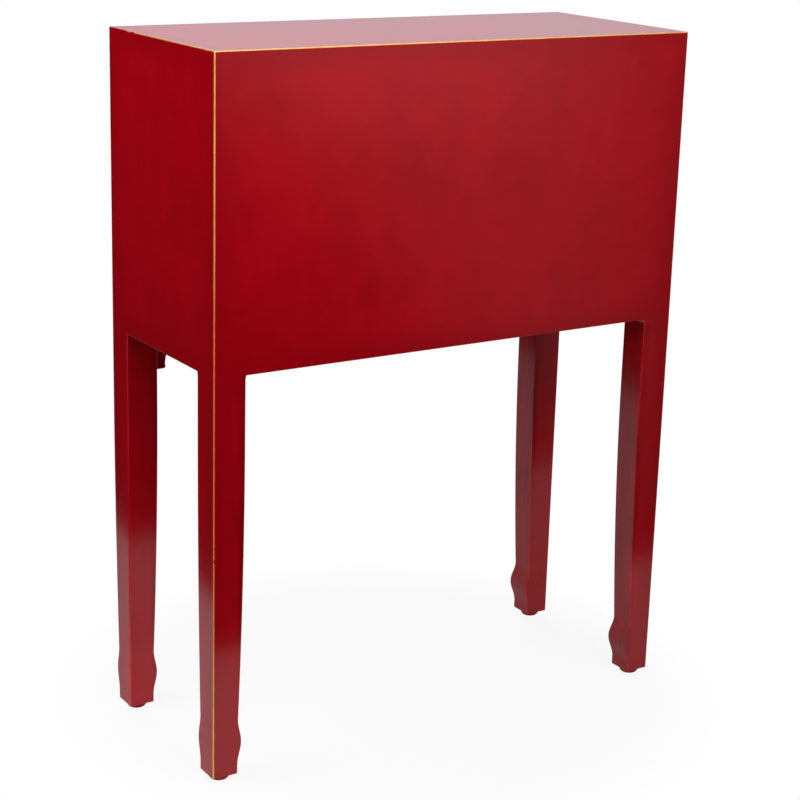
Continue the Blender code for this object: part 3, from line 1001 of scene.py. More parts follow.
@dataclass(frozen=True)
class Lacquer(Finish):
    """Cloudy red lacquer, smoked darker towards the edges of the case, with painted shade on the legs
    just under the case and on their inner faces.
    """

    plan: CasePlan
    bright: Colour = (0.50, 0.0008, 0.0085)
    middle: Colour = (0.455, 0.0006, 0.0070)
    deep: Colour = (0.40, 0.0004, 0.0055)
    # the dark colour of the antiqued smoke on the case and of the painted shade on the legs
    smoke: Colour = (0.14, 0.0003, 0.0015)
    clouds: Noise = Noise(9.0)
    mottle: Noise = Noise(34.0, 5.0, 0.62)
    wipes: Noise = Noise(30.0, 3.0, 0.55, (1.0, 1.0, 0.14))
    streaks: Noise = Noise(150.0, 3.0, 0.6, (1.0, 1.0, 0.07))
    ripples: Noise = Noise(210.0, 2.0)
    shares: Point = (0.45, 0.35, 0.20)  # of clouds, mottle and wipes in the red
    stops: Point = (0.38, 0.5, 0.61)
    # antiqued smoke along the case's edges; where it reaches down the legs from the case's underside it
    # is painted shade
    smoke_reach: float = 0.036
    smoke_strength: float = 0.30
    smoke_patches: Span = (0.36, 0.62, 0.35, 1.0)
    leg_reach: Flat = (0.026, 0.037)  # the painted shade thickens this far in from a leg's outer face
    leg_smoke: Flat = (0.10, 0.62)  # its strength on the outer and the inner faces
    leg_fade: float = 0.012
    leg_shares: Flat = (0.7, 0.3)  # of streaks and wipes in the painted shade on the legs
    leg_patches: Span = (0.36, 0.62, 0.40, 1.0)
    roughness: Span = (0.3, 0.7, 0.13, 0.15)
    refraction: float = 1.5  # sets how strongly the lacquer mirrors
    relief: Flat = (0.01, 0.0002)

    def across(self, recipe: Recipe, x: Socket) -> Socket:
        """Find how far a place lies in from the nearer end of the case."""
        return recipe.calc("SUBTRACT", self.plan.half_width, recipe.calc("ABSOLUTE", x))

    def edge_depth(self, recipe: Recipe) -> Socket:
        """Find how far a point of the case's outside lies from its nearest edge.

        Args:
            recipe: The material under way.

        Returns:
            The distance, as the middle one of the distances to the case's three pairs of faces.
        """
        x, y, z = recipe.split()
        across = self.across(recipe, x)
        from_middle = recipe.calc("ABSOLUTE", recipe.calc("SUBTRACT", y, self.plan.middle_y))
        along = recipe.calc("SUBTRACT", self.plan.half_depth, from_middle)
        from_top = recipe.calc("SUBTRACT", self.plan.top, z)
        from_low = recipe.calc("ABSOLUTE", recipe.calc("SUBTRACT", z, self.plan.case_low))
        up = recipe.calc("MINIMUM", from_top, from_low)
        lesser = recipe.calc("MINIMUM", across, along)
        greater = recipe.calc("MAXIMUM", across, along)
        return recipe.calc("MAXIMUM", lesser, recipe.calc("MINIMUM", greater, up))

    def smoke_on_legs(self, recipe: Recipe, wipes: Socket) -> Socket:
        """Find the painted shade on the legs, which lies in upright streaks and thickens towards their
        inner faces.

        Args:
            recipe: The material under way.
            wipes: The broad upright wipes of the lacquer.

        Returns:
            The strength of the painted shade, none above the underside of the case.
        """
        x, _, z = recipe.split()
        strength = recipe.fade(self.across(recipe, x), *self.leg_reach, *self.leg_smoke)
        low = self.plan.case_low
        below = recipe.fade(z, low - self.leg_fade, low, 1.0, 0.0)
        streaked = recipe.weigh(*zip((recipe.noise(self.streaks), wipes), self.leg_shares))
        return recipe.product(strength, below, recipe.fade(streaked, *self.leg_patches))

    def lay(self, recipe: Recipe) -> None:
        """Lay clouds, dabbed mottling and upright wipes, then smoke along the case's edges and painted
        shade on the legs.

        Args:
            recipe: The material under way.
        """
        clouds = recipe.noise(self.clouds)
        mottle = recipe.noise(self.mottle)
        wipes = recipe.noise(self.wipes)
        cover = recipe.weigh(*zip((clouds, mottle, wipes), self.shares))
        red = recipe.ramp(cover, self.stops, (self.deep, self.middle, self.bright))
        # nearness to the case's edges: antiqued smoke on the case, painted shade on the legs' tops
        # under it
        bare = recipe.fade(self.edge_depth(recipe), 0.0, self.smoke_reach, 1.0, 0.0)
        patches = recipe.weigh((clouds, HALF), (mottle, HALF))
        patchy = recipe.fade(patches, *self.smoke_patches)
        edges = recipe.product(bare, patchy, self.smoke_strength)
        # add the painted shade on the legs' inner faces
        darkened = recipe.calc("ADD", edges, self.smoke_on_legs(recipe, wipes))
        recipe.to_shader(
            base_color=recipe.mix(darkened, red, self.smoke),
            roughness=recipe.fade(clouds, *self.roughness),
            ior=self.refraction,
        )
        recipe.bump(recipe.noise(self.ripples), *self.relief)


@dataclass(frozen=True)
class GoldLine(Finish):
    """Gold paint along an edge, nicked and rubbed through to the lacquer.

    Attributes:
        bright: The paint where it is thick.
        deep: The paint in its darker streaks.
        thin: The line's redder colour over a band of heights.
        bared: The lacquer where the paint is gone.
        streaks: The pattern of brushed streaks.
        nicks: The pattern of small chips.
        rubs: The pattern of rubbed stretches.
        stops: Where the streaks are all deep and where they are all bright.
        sheen: How metallic the paint is.
        wear: Noise above this shows the lacquer, so less means more wear.
        wear_edge: How far past that the paint is all gone.
        lost_by: The line runs out between these places along Y.
        lost: How much is added to its wear there.
        thinned: It turns to that colour over the first stretch of heights and back over the second.
        roughness: How rough the paint is over its streaks.
        relief: How much of the nicks' height shows, and that height.
    """

    bright: Colour = (0.98, 0.55, 0.125)
    deep: Colour = (0.90, 0.43, 0.085)
    thin: Colour = (0.92, 0.20, 0.045)
    bared: Colour = (0.36, 0.004, 0.008)
    streaks: Noise = Noise(60.0, 3.0, 0.6)
    nicks: Noise = Noise(140.0, 3.0, 0.6)
    rubs: Noise = Noise(16.0, 2.0)
    stops: Flat = (0.36, 0.60)
    sheen: float = 0.10
    wear: float = 0.63
    wear_edge: float = 0.05
    lost_by: Flat | None = None
    lost: float = 0.3
    thinned: tuple[Flat, Flat] | None = None
    roughness: Span = (0.3, 0.7, 0.30, 0.48)
    relief: Flat = (0.15, 0.0003)

    def lay(self, recipe: Recipe) -> None:
        """Lay streaked gold, then wear it away in nicks and rubbed stretches.

        Args:
            recipe: The material under way.
        """
        _, along, height = recipe.split()
        streaks = recipe.noise(self.streaks)
        gold = recipe.ramp(streaks, self.stops, (self.deep, self.bright))
        if self.thinned:
            lower, upper = self.thinned
            above_band = recipe.fade(height, *upper, 1.0, 0.0)
            gold = recipe.mix(recipe.product(recipe.fade(height, *lower), above_band), gold, self.thin)
        nicks = recipe.noise(self.nicks)
        loss = recipe.weigh((nicks, HALF), (recipe.noise(self.rubs), HALF))
        if self.lost_by:
            loss = recipe.calc("ADD", loss, recipe.fade(along, *self.lost_by, 0.0, self.lost))
        worn = recipe.fade(loss, self.wear, self.wear + self.wear_edge)
        recipe.to_shader(
            base_color=recipe.mix(worn, gold, self.bared),
            metallic=recipe.fade(worn, 0.0, 1.0, self.sheen, 0.0),
            roughness=recipe.fade(streaks, *self.roughness),
        )
        recipe.bump(nicks, *self.relief)


@dataclass(frozen=True)
class TwoTone(Finish):
    """A plain material in two tones, with a broad and a fine pattern.

    Attributes:
        dark: The darker tone.
        pale: The paler tone.
        broad: The broad pattern.
        fine: The fine pattern, which also stands in relief.
        share: The share of the broad pattern in the tones.
        stops: Where the pattern is all dark and where it is all pale.
        roughness: How rough the surface is over the pattern.
        relief: How much of the fine pattern's height shows, and that height.
        fine_roughness: Whether the roughness follows the fine pattern alone.
        metallic: Whether it is a metal, as 0 or 1.
    """

    dark: Colour
    pale: Colour
    broad: Noise
    fine: Noise
    share: float
    stops: Flat
    roughness: Span
    relief: Flat
    fine_roughness: bool = False
    metallic: float = 0.0

    def lay(self, recipe: Recipe) -> None:
        """Lay the tones, the roughness and the relief.

        Args:
            recipe: The material under way.
        """
        fine = recipe.noise(self.fine)
        figure = recipe.weigh((recipe.noise(self.broad), self.share), (fine, 1.0 - self.share))
        recipe.to_shader(
            base_color=recipe.ramp(figure, self.stops, (self.dark, self.pale)),
            roughness=recipe.fade(fine if self.fine_roughness else figure, *self.roughness),
            metallic=self.metallic,
        )
        recipe.bump(fine, *self.relief)


@dataclass(frozen=True)
class Paper(Finish):
    """Pale studio floor that runs out into the white of the room."""

    pale: Colour = (0.68, 0.68, 0.68)
    paler: Colour = (0.72, 0.72, 0.72)
    tooth: Noise = Noise(300.0, 3.0, 0.6)
    stops: Flat = (0.35, 0.65)
    roughness: Span = (0.3, 0.7, 0.75, 0.9)
    shine: float = 0.2
    glow: float = 0.05  # light that comes up through the sheet
    lift: Flat = (0.90, 1.0)  # how white the sheet looks near the table and far from it
    run_out: Flat = (0.30, 0.46)  # between these distances from the middle

    def lay(self, recipe: Recipe) -> None:
        """Lay a faint tooth, and whiten what the camera sees of the sheet away from the table.

        Args:
            recipe: The material under way.
        """
        tooth = recipe.noise(self.tooth)
        recipe.to_shader(
            base_color=recipe.ramp(tooth, self.stops, (self.pale, self.paler)),
            roughness=recipe.fade(tooth, *self.roughness),
            specular_ior_level=self.shine,
            emission_color=WHITE,
            emission_strength=self.glow,
        )
        x, y, _ = recipe.split()
        squares = [recipe.product(place, place) for place in (x, y)]
        away = recipe.calc("SQRT", recipe.calc("ADD", *squares))
        seen = recipe.node("ShaderNodeLightPath").outputs["Is Camera Ray"]
        whitened = recipe.product(seen, recipe.fade(away, *self.run_out, *self.lift))
        white = recipe.node("ShaderNodeEmission").outputs["Emission"]
        chosen = recipe.join_shaders("ShaderNodeMixShader", recipe.shader.outputs["BSDF"], white)
        recipe.feed(chosen.inputs["Fac"], whitened)
        recipe.feed(recipe.tree.nodes["Material Output"].inputs["Surface"], chosen.outputs[0])


@dataclass(frozen=True)
class Palette:
    """The table's finishes.

    Attributes:
        lacquer: Cloudy red lacquer of the case and the legs.
        gold: Gold paint of the lines along the edges.
        fading_gold: The same along the ends of the top, where it runs out, darker as painted shade.
        worn_gold: The same at the left corner of the back, where most of it is gone.
        rubbed: Brighter lacquer along the edges of the legs, a painted highlight.
        brass: Old sheet and cast brass, browned where hands don't rub it.
        steel: Zinc-plated sheet steel with fine rolling lines.
        plastic: Moulded brown plastic with a fine grain.
        felt: Dark maroon felt of the glides, dusty in places.
    """

    lacquer: Lacquer
    gold: GoldLine
    fading_gold: GoldLine
    worn_gold: GoldLine
    rubbed: Lacquer
    brass: TwoTone = TwoTone(
        "browned_brass",
        dark=(0.33, 0.20, 0.07),
        pale=(0.78, 0.55, 0.23),
        broad=Noise(70.0, 5.0, 0.65),
        fine=Noise(900.0, 2.0),
        share=1.0,
        stops=(0.36, 0.58),
        roughness=(0.35, 0.62, 0.46, 0.27),
        relief=(0.12, 0.0002),
        metallic=1.0,
    )
    steel: TwoTone = TwoTone(
        "zinc_plate",
        dark=(0.25, 0.255, 0.265),
        pale=(0.42, 0.425, 0.435),
        broad=Noise(160.0, 4.0, 0.6),
        fine=Noise(1400.0, 2.0, 0.5, (0.05, 1.0, 1.0)),
        share=0.6,
        stops=(0.38, 0.60),
        roughness=(0.35, 0.65, 0.52, 0.36),
        relief=(0.08, 0.0001),
        metallic=1.0,
    )
    plastic: TwoTone = TwoTone(
        "moulded_plastic",
        dark=(0.055, 0.028, 0.018),
        pale=(0.085, 0.045, 0.030),
        broad=Noise(90.0),
        fine=Noise(2600.0, 2.0, 0.6),
        share=1.0,
        stops=(0.35, 0.65),
        roughness=(0.35, 0.65, 0.42, 0.56),
        relief=(0.2, 0.0001),
        fine_roughness=True,
    )
    felt: TwoTone = TwoTone(
        "glide_felt",
        dark=(0.020, 0.008, 0.008),
        pale=(0.075, 0.030, 0.026),
        broad=Noise(260.0, 4.0, 0.6),
        fine=Noise(3000.0, 3.0, 0.7),
        share=0.5,
        stops=(0.38, 0.64),
        roughness=(0.3, 0.7, 0.85, 0.98),
        relief=(0.5, 0.0003),
        fine_roughness=True,
    )

    @classmethod
    def for_plan(cls, plan: CasePlan) -> Palette:
        """Mix the finishes that depend on the case's places.

        Args:
            plan: The case's places.

        Returns:
            The finishes.
        """
        return cls(
            lacquer=Lacquer("cloudy_lacquer", plan),
            gold=GoldLine("gold_line", thinned=((-0.05, 0.40), (0.50, 0.74))),
            fading_gold=GoldLine(
                "fading_gold_line",
                # darker gold: painted shade on the rims of the top's ends
                bright=(0.70, 0.33, 0.090),
                deep=(0.58, 0.24, 0.060),
                lost_by=(plan.middle_y, plan.front),
            ),
            worn_gold=GoldLine("worn_gold_line", wear=0.40),
            # brighter lacquer on the legs' rounded edges and foot rims: a painted highlight
            rubbed=Lacquer(
                "rubbed_lacquer",
                plan,
                bright=(0.82, 0.0060, 0.022),
                middle=(0.70, 0.0040, 0.016),
                deep=(0.52, 0.0015, 0.009),
                smoke_strength=0.0,
            ),
        )

    def wood(self, grain: Grain) -> TwoTone:
        """Find bare wood with growth bands and fibres along one axis.

        Args:
            grain: The axis.

        Returns:
            The finish.
        """
        return TwoTone(
            f"wood_{grain.word}",
            dark=(0.27, 0.145, 0.065),
            pale=(0.47, 0.30, 0.16),
            broad=Noise(45.0, 4.0, 0.6, grain.value),
            fine=Noise(520.0, 2.0, 0.5, grain.value),
            share=0.65,
            stops=(0.36, 0.62),
            roughness=(0.35, 0.65, 0.72, 0.55),
            relief=(0.25, 0.0004),
        )

    def coats(self, grain: Grain = Grain.ALONG_X) -> tuple[Finish, ...]:
        """The finishes of a lacquered piece, in the order of Coat."""
        golds = (self.gold, self.fading_gold, self.worn_gold)
        return (self.lacquer, *golds, self.wood(grain), self.rubbed)


@dataclass
class Legs:
    """Four legs that run up as corner posts and stand on hoofed feet with felt glides."""

    plan: CasePlan
    palette: Palette
    taper_drop: float = 0.077
    ankle_height: float = 0.068
    hoof_height: float = 0.040
    toe_height: float = 0.011
    inner_draw: Point = (0.0069, 0.0028, 0.0076)
    front_draw: Point = (0.0065, 0.0021, 0.0069)
    fillet_width: float = 0.0011
    fillet_height: float = 0.0055
    fillet_steps: int = 5
    taper_steps: int = 16
    hoof_steps: int = 10
    toe_steps: int = 10
    edge_round: float = 0.0014
    foot_round: float = 0.0020
    glide_edge: float = 0.0045
    glide_steps: int = 8
    glide_facets: int = 48

    @property
    def taper_start(self) -> float:
        """Height above the foot where the taper begins."""
        return self.plan.case_low - self.plan.foot - self.taper_drop

    def draw_in(self, height: float, draws: Point) -> float:
        """Find how far a shaped face draws in.

        Args:
            height: The height above the foot.
            draws: How far the face draws in at the ankle, hoof and toe.

        Returns:
            The distance, from nothing at the start of the taper.
        """
        ankle, hoof, toe = draws
        if height >= self.taper_start:
            return 0.0
        if height >= self.ankle_height:
            share = (self.taper_start - height) / (self.taper_start - self.ankle_height)
            return ankle * share**2
        if height >= self.hoof_height:
            share = (height - self.hoof_height) / (self.ankle_height - self.hoof_height)
            return eased(hoof, ankle, share)
        if height >= self.toe_height:
            share = (height - self.toe_height) / (self.hoof_height - self.toe_height)
            return eased(toe, hoof, share)
        return toe

    def sections(self, end: End) -> list[Point]:
        """List the sections below the case, highest first.

        Args:
            end: Whether the leg stands at the front or the back.

        Returns:
            The height above the foot, and the leg's width and depth there.
        """
        under_case = self.plan.case_low - self.plan.foot
        made = []
        if end is End.BACK:
            for i in range(self.fillet_steps + 1):
                share = i / self.fillet_steps
                swollen = self.plan.post + self.fillet_width * (1 - share) ** 2
                made.append((under_case - self.fillet_height * share, swollen, swollen))
        stretches = [
            (self.taper_start, self.ankle_height, self.taper_steps),
            (self.ankle_height, self.hoof_height, self.hoof_steps),
            (self.hoof_height, self.toe_height, self.toe_steps),
        ]
        heights = [high + (low - high) * i / n for high, low, n in stretches for i in range(n)]
        for height in heights + [self.toe_height, 0.0]:
            width = self.plan.post - self.draw_in(height, self.inner_draw)
            depth = self.plan.post - self.draw_in(height, self.front_draw)
            made.append((height, width, depth))
        return made

    def right_leg(self, end: End) -> Workpiece:
        """Draw one leg of the right end down from its post.

        Args:
            end: Whether it stands at the front or the back.

        Returns:
            The leg with its edges rounded.
        """
        plan = self.plan
        outer = plan.half_width
        back = plan.back if end is End.BACK else plan.front + plan.post
        low = (plan.half_opening, back - plan.post, plan.case_low)
        leg = Workpiece.block("leg", low, (outer, back, plan.top_low)).give(*self.palette.coats())
        leg.choose_faces(facing(DOWN))
        width = depth = plan.post
        level = plan.case_low
        for height, new_width, new_depth in self.sections(end):
            fall = (0.0, 0.0, plan.foot + height - level)
            bpy.ops.mesh.extrude_region_move(TRANSFORM_OT_translate={"value": fall})
            level = plan.foot + height
            change = (new_width / width, new_depth / depth, 1.0)
            bpy.ops.transform.resize(value=change, center_override=(outer, back, level))
            width, depth = new_width, new_depth
        leg.leave()
        return self.round_leg(leg, end, outer, back)

    def round_leg(self, leg: Workpiece, end: End, outer: float, back: float) -> Workpiece:
        """Round a leg's edges, with gold on the one at the case's corner.

        Args:
            leg: The leg.
            end: Whether it stands at the front or the back.
            outer: Where its outer side face is.
            back: Where its back face is.

        Returns:
            The leg.
        """
        plan = self.plan
        below_case = plan.case_low + TOUCH
        gilded = (True, end is End.BACK)

        def corner(point: Vector) -> tuple[bool, bool]:
            """Whether a point is on the outer side, and whether on the back."""
            return abs(point.x - outer) < plan.post / 2, abs(point.y - back) < plan.post / 2

        def upright(start: Vector, finish: Vector) -> bool:
            """Whether an edge runs up one of the leg's four corners."""
            return corner(start) == corner(finish) and abs(start.z - finish.z) > TOUCH

        def gold_edge(start: Vector, finish: Vector) -> bool:
            """Whether an edge runs up the case's corner."""
            return upright(start, finish) and corner(start) == gilded

        def bare_edge(start: Vector, finish: Vector) -> bool:
            """Whether an edge runs up another corner, below the case."""
            is_other = upright(start, finish) and corner(start) != gilded
            return is_other and max(start.z, finish.z) < below_case

        leg.round_edges(gold_edge, plan.corner_round, plan.edge_strips, Coat.GOLD)
        # the legs' other edges and the rim of each foot get the brighter lacquer, a painted highlight
        leg.round_edges(bare_edge, self.edge_round, coat=Coat.RUBBED)
        leg.round_edges(edges_at(z=plan.foot), self.foot_round, coat=Coat.RUBBED)
        return leg.keep_flat(lambda middle, normal: middle.z > below_case and is_square(normal))

    def add_glides(self) -> None:
        """Turn one glide, lacquered at its side and felted below, and set one under each foot."""
        first = Workpiece.turned("glide", self.glide_profile(), (0.0, 0.0, 0.0), UP, self.glide_facets)
        first.give(self.palette.lacquer, self.palette.felt)
        first.paint(facing(DOWN, HALF), coat=1)
        for end in End:
            for side in Side:
                node = f"glide_{end.word}_{side.word}"
                low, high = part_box(node)
                middle = (low + high) / 2
                glide = first.copy(node).moved((middle.x, middle.y, 0.0))
                glide.fit(node, "case", Slot.PAD)
        first.drop()

    def glide_profile(self) -> list[Flat]:
        """Draw a pad with a round lower rim, closed up to the foot.

        Returns:
            Points of radius and height.
        """
        low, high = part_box("glide_back_right")
        radius = (high.x - low.x) / 2
        seat = self.plan.foot
        edge = self.glide_edge
        rim = arc((radius - edge, edge), edge, -90.0, 0.0, self.glide_steps)
        return [(0.0, 0.0), *rim, (radius, seat), (0.0, seat)]

    def build(self) -> None:
        """Model a front and a back leg, mirror each for the left end, and set the glides."""

        def left_back_corner(_: Vector, normal: Vector) -> bool:
            """Whether a face rounds the edge between the left end and the back."""
            return normal.x < -SLANT and normal.y > SLANT and not leans(normal.z)

        for end in End:
            right = self.right_leg(end)
            left = right.twin()
            if end is End.BACK:
                left.paint(left_back_corner, Coat.WORN_GOLD)
            right.fit(f"leg_{end.word}_right", "case", Slot.LACQUER)
            left.fit(f"leg_{end.word}_left", "case", Slot.LACQUER)
        self.add_glides()


@dataclass
class CaseShell:
    """The lacquered outside of the case: top, panels, rails and corner brackets."""

    plan: CasePlan
    palette: Palette
    panel_thickness: float = 0.012
    rail_depth: float = 0.035
    bracket_thickness: float = 0.010
    bracket_drop: float = 0.057
    bracket_reach: float = 0.078
    bracket_end: float = 0.006
    bracket_ease: float = 0.0007
    nose_reach: float = 0.0220
    nose_radius: float = 0.0032
    nose_turn: float = 35.0
    cusp: Flat = (0.047, 0.021)
    curve_steps: int = 14

    def add_top(self) -> None:
        """Model the top board with gilded round edges."""
        plan = self.plan

        def end_edge(_: Vector, normal: Vector) -> bool:
            """Whether a face rounds an edge between the top and one of its ends."""
            return leans(normal.x) and normal.z > SLANT and not leans(normal.y)

        def left_back_corner(_: Vector, normal: Vector) -> bool:
            """Whether a face rounds the corner between the left end and the back."""
            return normal.x < -SLANT and normal.y > SLANT

        low = (-plan.half_width, plan.front, plan.top_low)
        board = Workpiece.block("top", low, (plan.half_width, plan.back, plan.top))
        board.give(*self.palette.coats())
        board.round_edges(
            lambda start, end: abs(start.z - end.z) > TOUCH,
            plan.corner_round,
            plan.edge_strips,
            Coat.GOLD,
        )
        board.round_edges(edges_at(z=plan.top), plan.rim_round, plan.edge_strips, Coat.GOLD)
        # the rims of the top's ends: gold darkened as painted shade, running out towards the front
        board.paint(end_edge, Coat.FADING_GOLD)
        board.paint(left_back_corner, Coat.WORN_GOLD)
        board.paint(facing(DOWN), Coat.WOOD)
        board.fit("top_board", "case", Slot.LACQUER)

    def add_panels(self) -> None:
        """Model the back panel and the two side panels, bare inside."""
        plan = self.plan
        low = (-plan.half_opening, plan.back - self.panel_thickness, plan.case_low)
        panel = Workpiece.block("panel", low, (plan.half_opening, plan.back, plan.top_low))
        panel.give(*self.palette.coats())
        panel.round_edges(self.lower_long_edges(RIGHTWARDS), plan.small_round)
        panel.paint(facing(FORWARDS), Coat.WOOD)
        panel.fit("back_panel", "case", Slot.LACQUER)
        low = (plan.half_width - self.panel_thickness, plan.front + plan.post, plan.case_low)
        high = (plan.half_width, plan.back - plan.post, plan.top_low)
        right = Workpiece.block("panel", low, high).give(*self.palette.coats(Grain.ALONG_Y))
        right.round_edges(self.lower_long_edges(BACKWARDS), plan.small_round)
        right.paint(facing(LEFTWARDS), Coat.WOOD)
        right.fit_pair("side_panel_right", "case", Slot.LACQUER)

    def lower_long_edges(self, way: Point) -> EdgeTest:
        """Make a test for the edges of a panel's underside that run one way."""
        at_low = edges_at(z=self.plan.case_low)
        return lambda a, b: at_low(a, b) and abs((b - a).normalized().dot(way)) > ALIGNED

    def add_rails(self) -> None:
        """Model the three front rails, eased along the openings."""
        plan = self.plan
        for node in ("top_rail", "middle_rail", "bottom_rail"):
            low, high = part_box(node)
            under_top = node == "top_rail"
            upper = plan.top_low if under_top else high.z
            start = (-plan.half_opening, plan.front, low.z)
            end = (plan.half_opening, plan.front + self.rail_depth, upper)
            rail = Workpiece.block(node, start, end).give(*self.palette.coats())
            levels = [low.z] if under_top else [low.z, upper]
            at_front = any_of([edges_at(y=plan.front, z=level) for level in levels])
            rail.round_edges(at_front, plan.small_round)
            rail.paint(facing(BACKWARDS), Coat.WOOD)
            rail.fit(node, "case", Slot.LACQUER)

    def bracket_outline(self) -> list[Flat]:
        """Draw a bracket's outline.

        Returns:
            Points of reach from the leg and drop below the rail.
        """
        nose_middle = (self.nose_reach, self.bracket_drop - self.nose_radius)
        nose = arc(nose_middle, self.nose_radius, 90.0, -self.nose_turn, self.curve_steps)
        tip = (self.bracket_reach, self.bracket_end)
        sweeps = self.hollow(nose[-1], self.cusp)[1:] + self.hollow(self.cusp, tip)[1:]
        return [(0.0, 0.0), (0.0, self.bracket_drop), *nose, *sweeps, (self.bracket_reach, 0.0)]

    def hollow(self, start: Flat, end: Flat) -> list[Flat]:
        """Draw a quarter ellipse that leaves start along the drop.

        Args:
            start: Its lower point.
            end: Its upper point, reached along the reach.

        Returns:
            Its points.
        """
        wide, tall = end[0] - start[0], start[1] - end[1]
        turns = [math.pi / 2 * i / self.curve_steps for i in range(self.curve_steps + 1)]
        return [(end[0] - wide * math.cos(t), start[1] - tall * math.sin(t)) for t in turns]

    def add_brackets(self) -> None:
        """Saw one scalloped bracket to its outline, ease it and mirror it."""
        plan = self.plan
        corners = [
            Vector((plan.half_opening - reach, plan.front, plan.case_low - drop))
            for reach, drop in self.bracket_outline()
        ]
        right = Workpiece.plate("bracket", corners, (0.0, self.bracket_thickness, 0.0))
        right.give(*self.palette.coats()).ease(self.bracket_ease, angle=SHEET_ANGLE)
        right.fit_pair("bracket_right", "case", Slot.LACQUER)

    def build(self) -> None:
        """Model every outer piece of the case."""
        self.add_top()
        self.add_panels()
        self.add_rails()
        self.add_brackets()


@dataclass
class CaseInside:
    """The wood inside the case, and the catch that holds the doors."""

    plan: CasePlan
    palette: Palette
    board_ease: float = 0.0005
    strip_ease: float = 0.001
    pole_width: float = 0.0028
    pole_gap: float = 0.0065
    pole_proud: float = 0.0002
    pole_inset: float = 0.2  # as a share of the catch's height
    catch_edge: float = 0.0012

    def add_boards(self) -> None:
        """Saw the dust board and the bottom board, notched round the posts."""
        plan = self.plan
        for node in ("dust_board", "bottom_board"):
            low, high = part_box(node)
            inner = plan.half_opening
            behind = plan.front + plan.post
            before = plan.back - plan.post
            half = [
                (inner, low.y),
                (inner, behind),
                (high.x, behind),
                (high.x, before),
                (inner, before),
                (inner, high.y),
            ]
            outline = half + [(-x, y) for x, y in reversed(half)]
            corners = [Vector((x, y, low.z)) for x, y in outline]
            board = Workpiece.plate(node, corners, (0.0, 0.0, high.z - low.z))
            board.give(self.palette.wood(Grain.ALONG_X)).ease(self.board_ease)
            board.fit(node, "case", Slot.WOOD)

    def add_strips(self) -> None:
        """Plane the drawer guides and the drawer stops."""
        for kind, grain in (("drawer_guide", Grain.ALONG_Y), ("drawer_stop", Grain.ALONG_X)):
            for side in Side:
                node = f"{kind}_{side.word}"
                strip = Workpiece.block(node, *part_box(node)).give(self.palette.wood(grain))
                strip.ease(self.strip_ease, ROUND_STRIPS)
                strip.fit(node, "case", Slot.WOOD)

    def add_catch(self) -> None:
        """Mould the magnetic catch with two steel poles for each door."""
        low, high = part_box("door_catch")
        catch = Workpiece.block("catch", low, high)
        catch.give(self.palette.plastic, self.palette.steel).ease(self.catch_edge, ROUND_STRIPS)
        inset = (high.z - low.z) * self.pole_inset
        for side in Side:
            for place in (-HALF, HALF):
                middle = side.value * (high.x - low.x) / 4 + place * self.pole_gap
                start = (middle - self.pole_width / 2, low.y - self.pole_proud, low.z + inset)
                end = (middle + self.pole_width / 2, low.y + inset, high.z - inset)
                pole = Workpiece.block("pole", start, end).give(self.palette.steel)
                catch.join(pole.ease(self.pole_proud))
        catch.fit("door_catch", "case", Slot.PLASTIC)

    def build(self) -> None:
        """Model every piece inside the case."""
        self.add_boards()
        self.add_strips()
        self.add_catch()


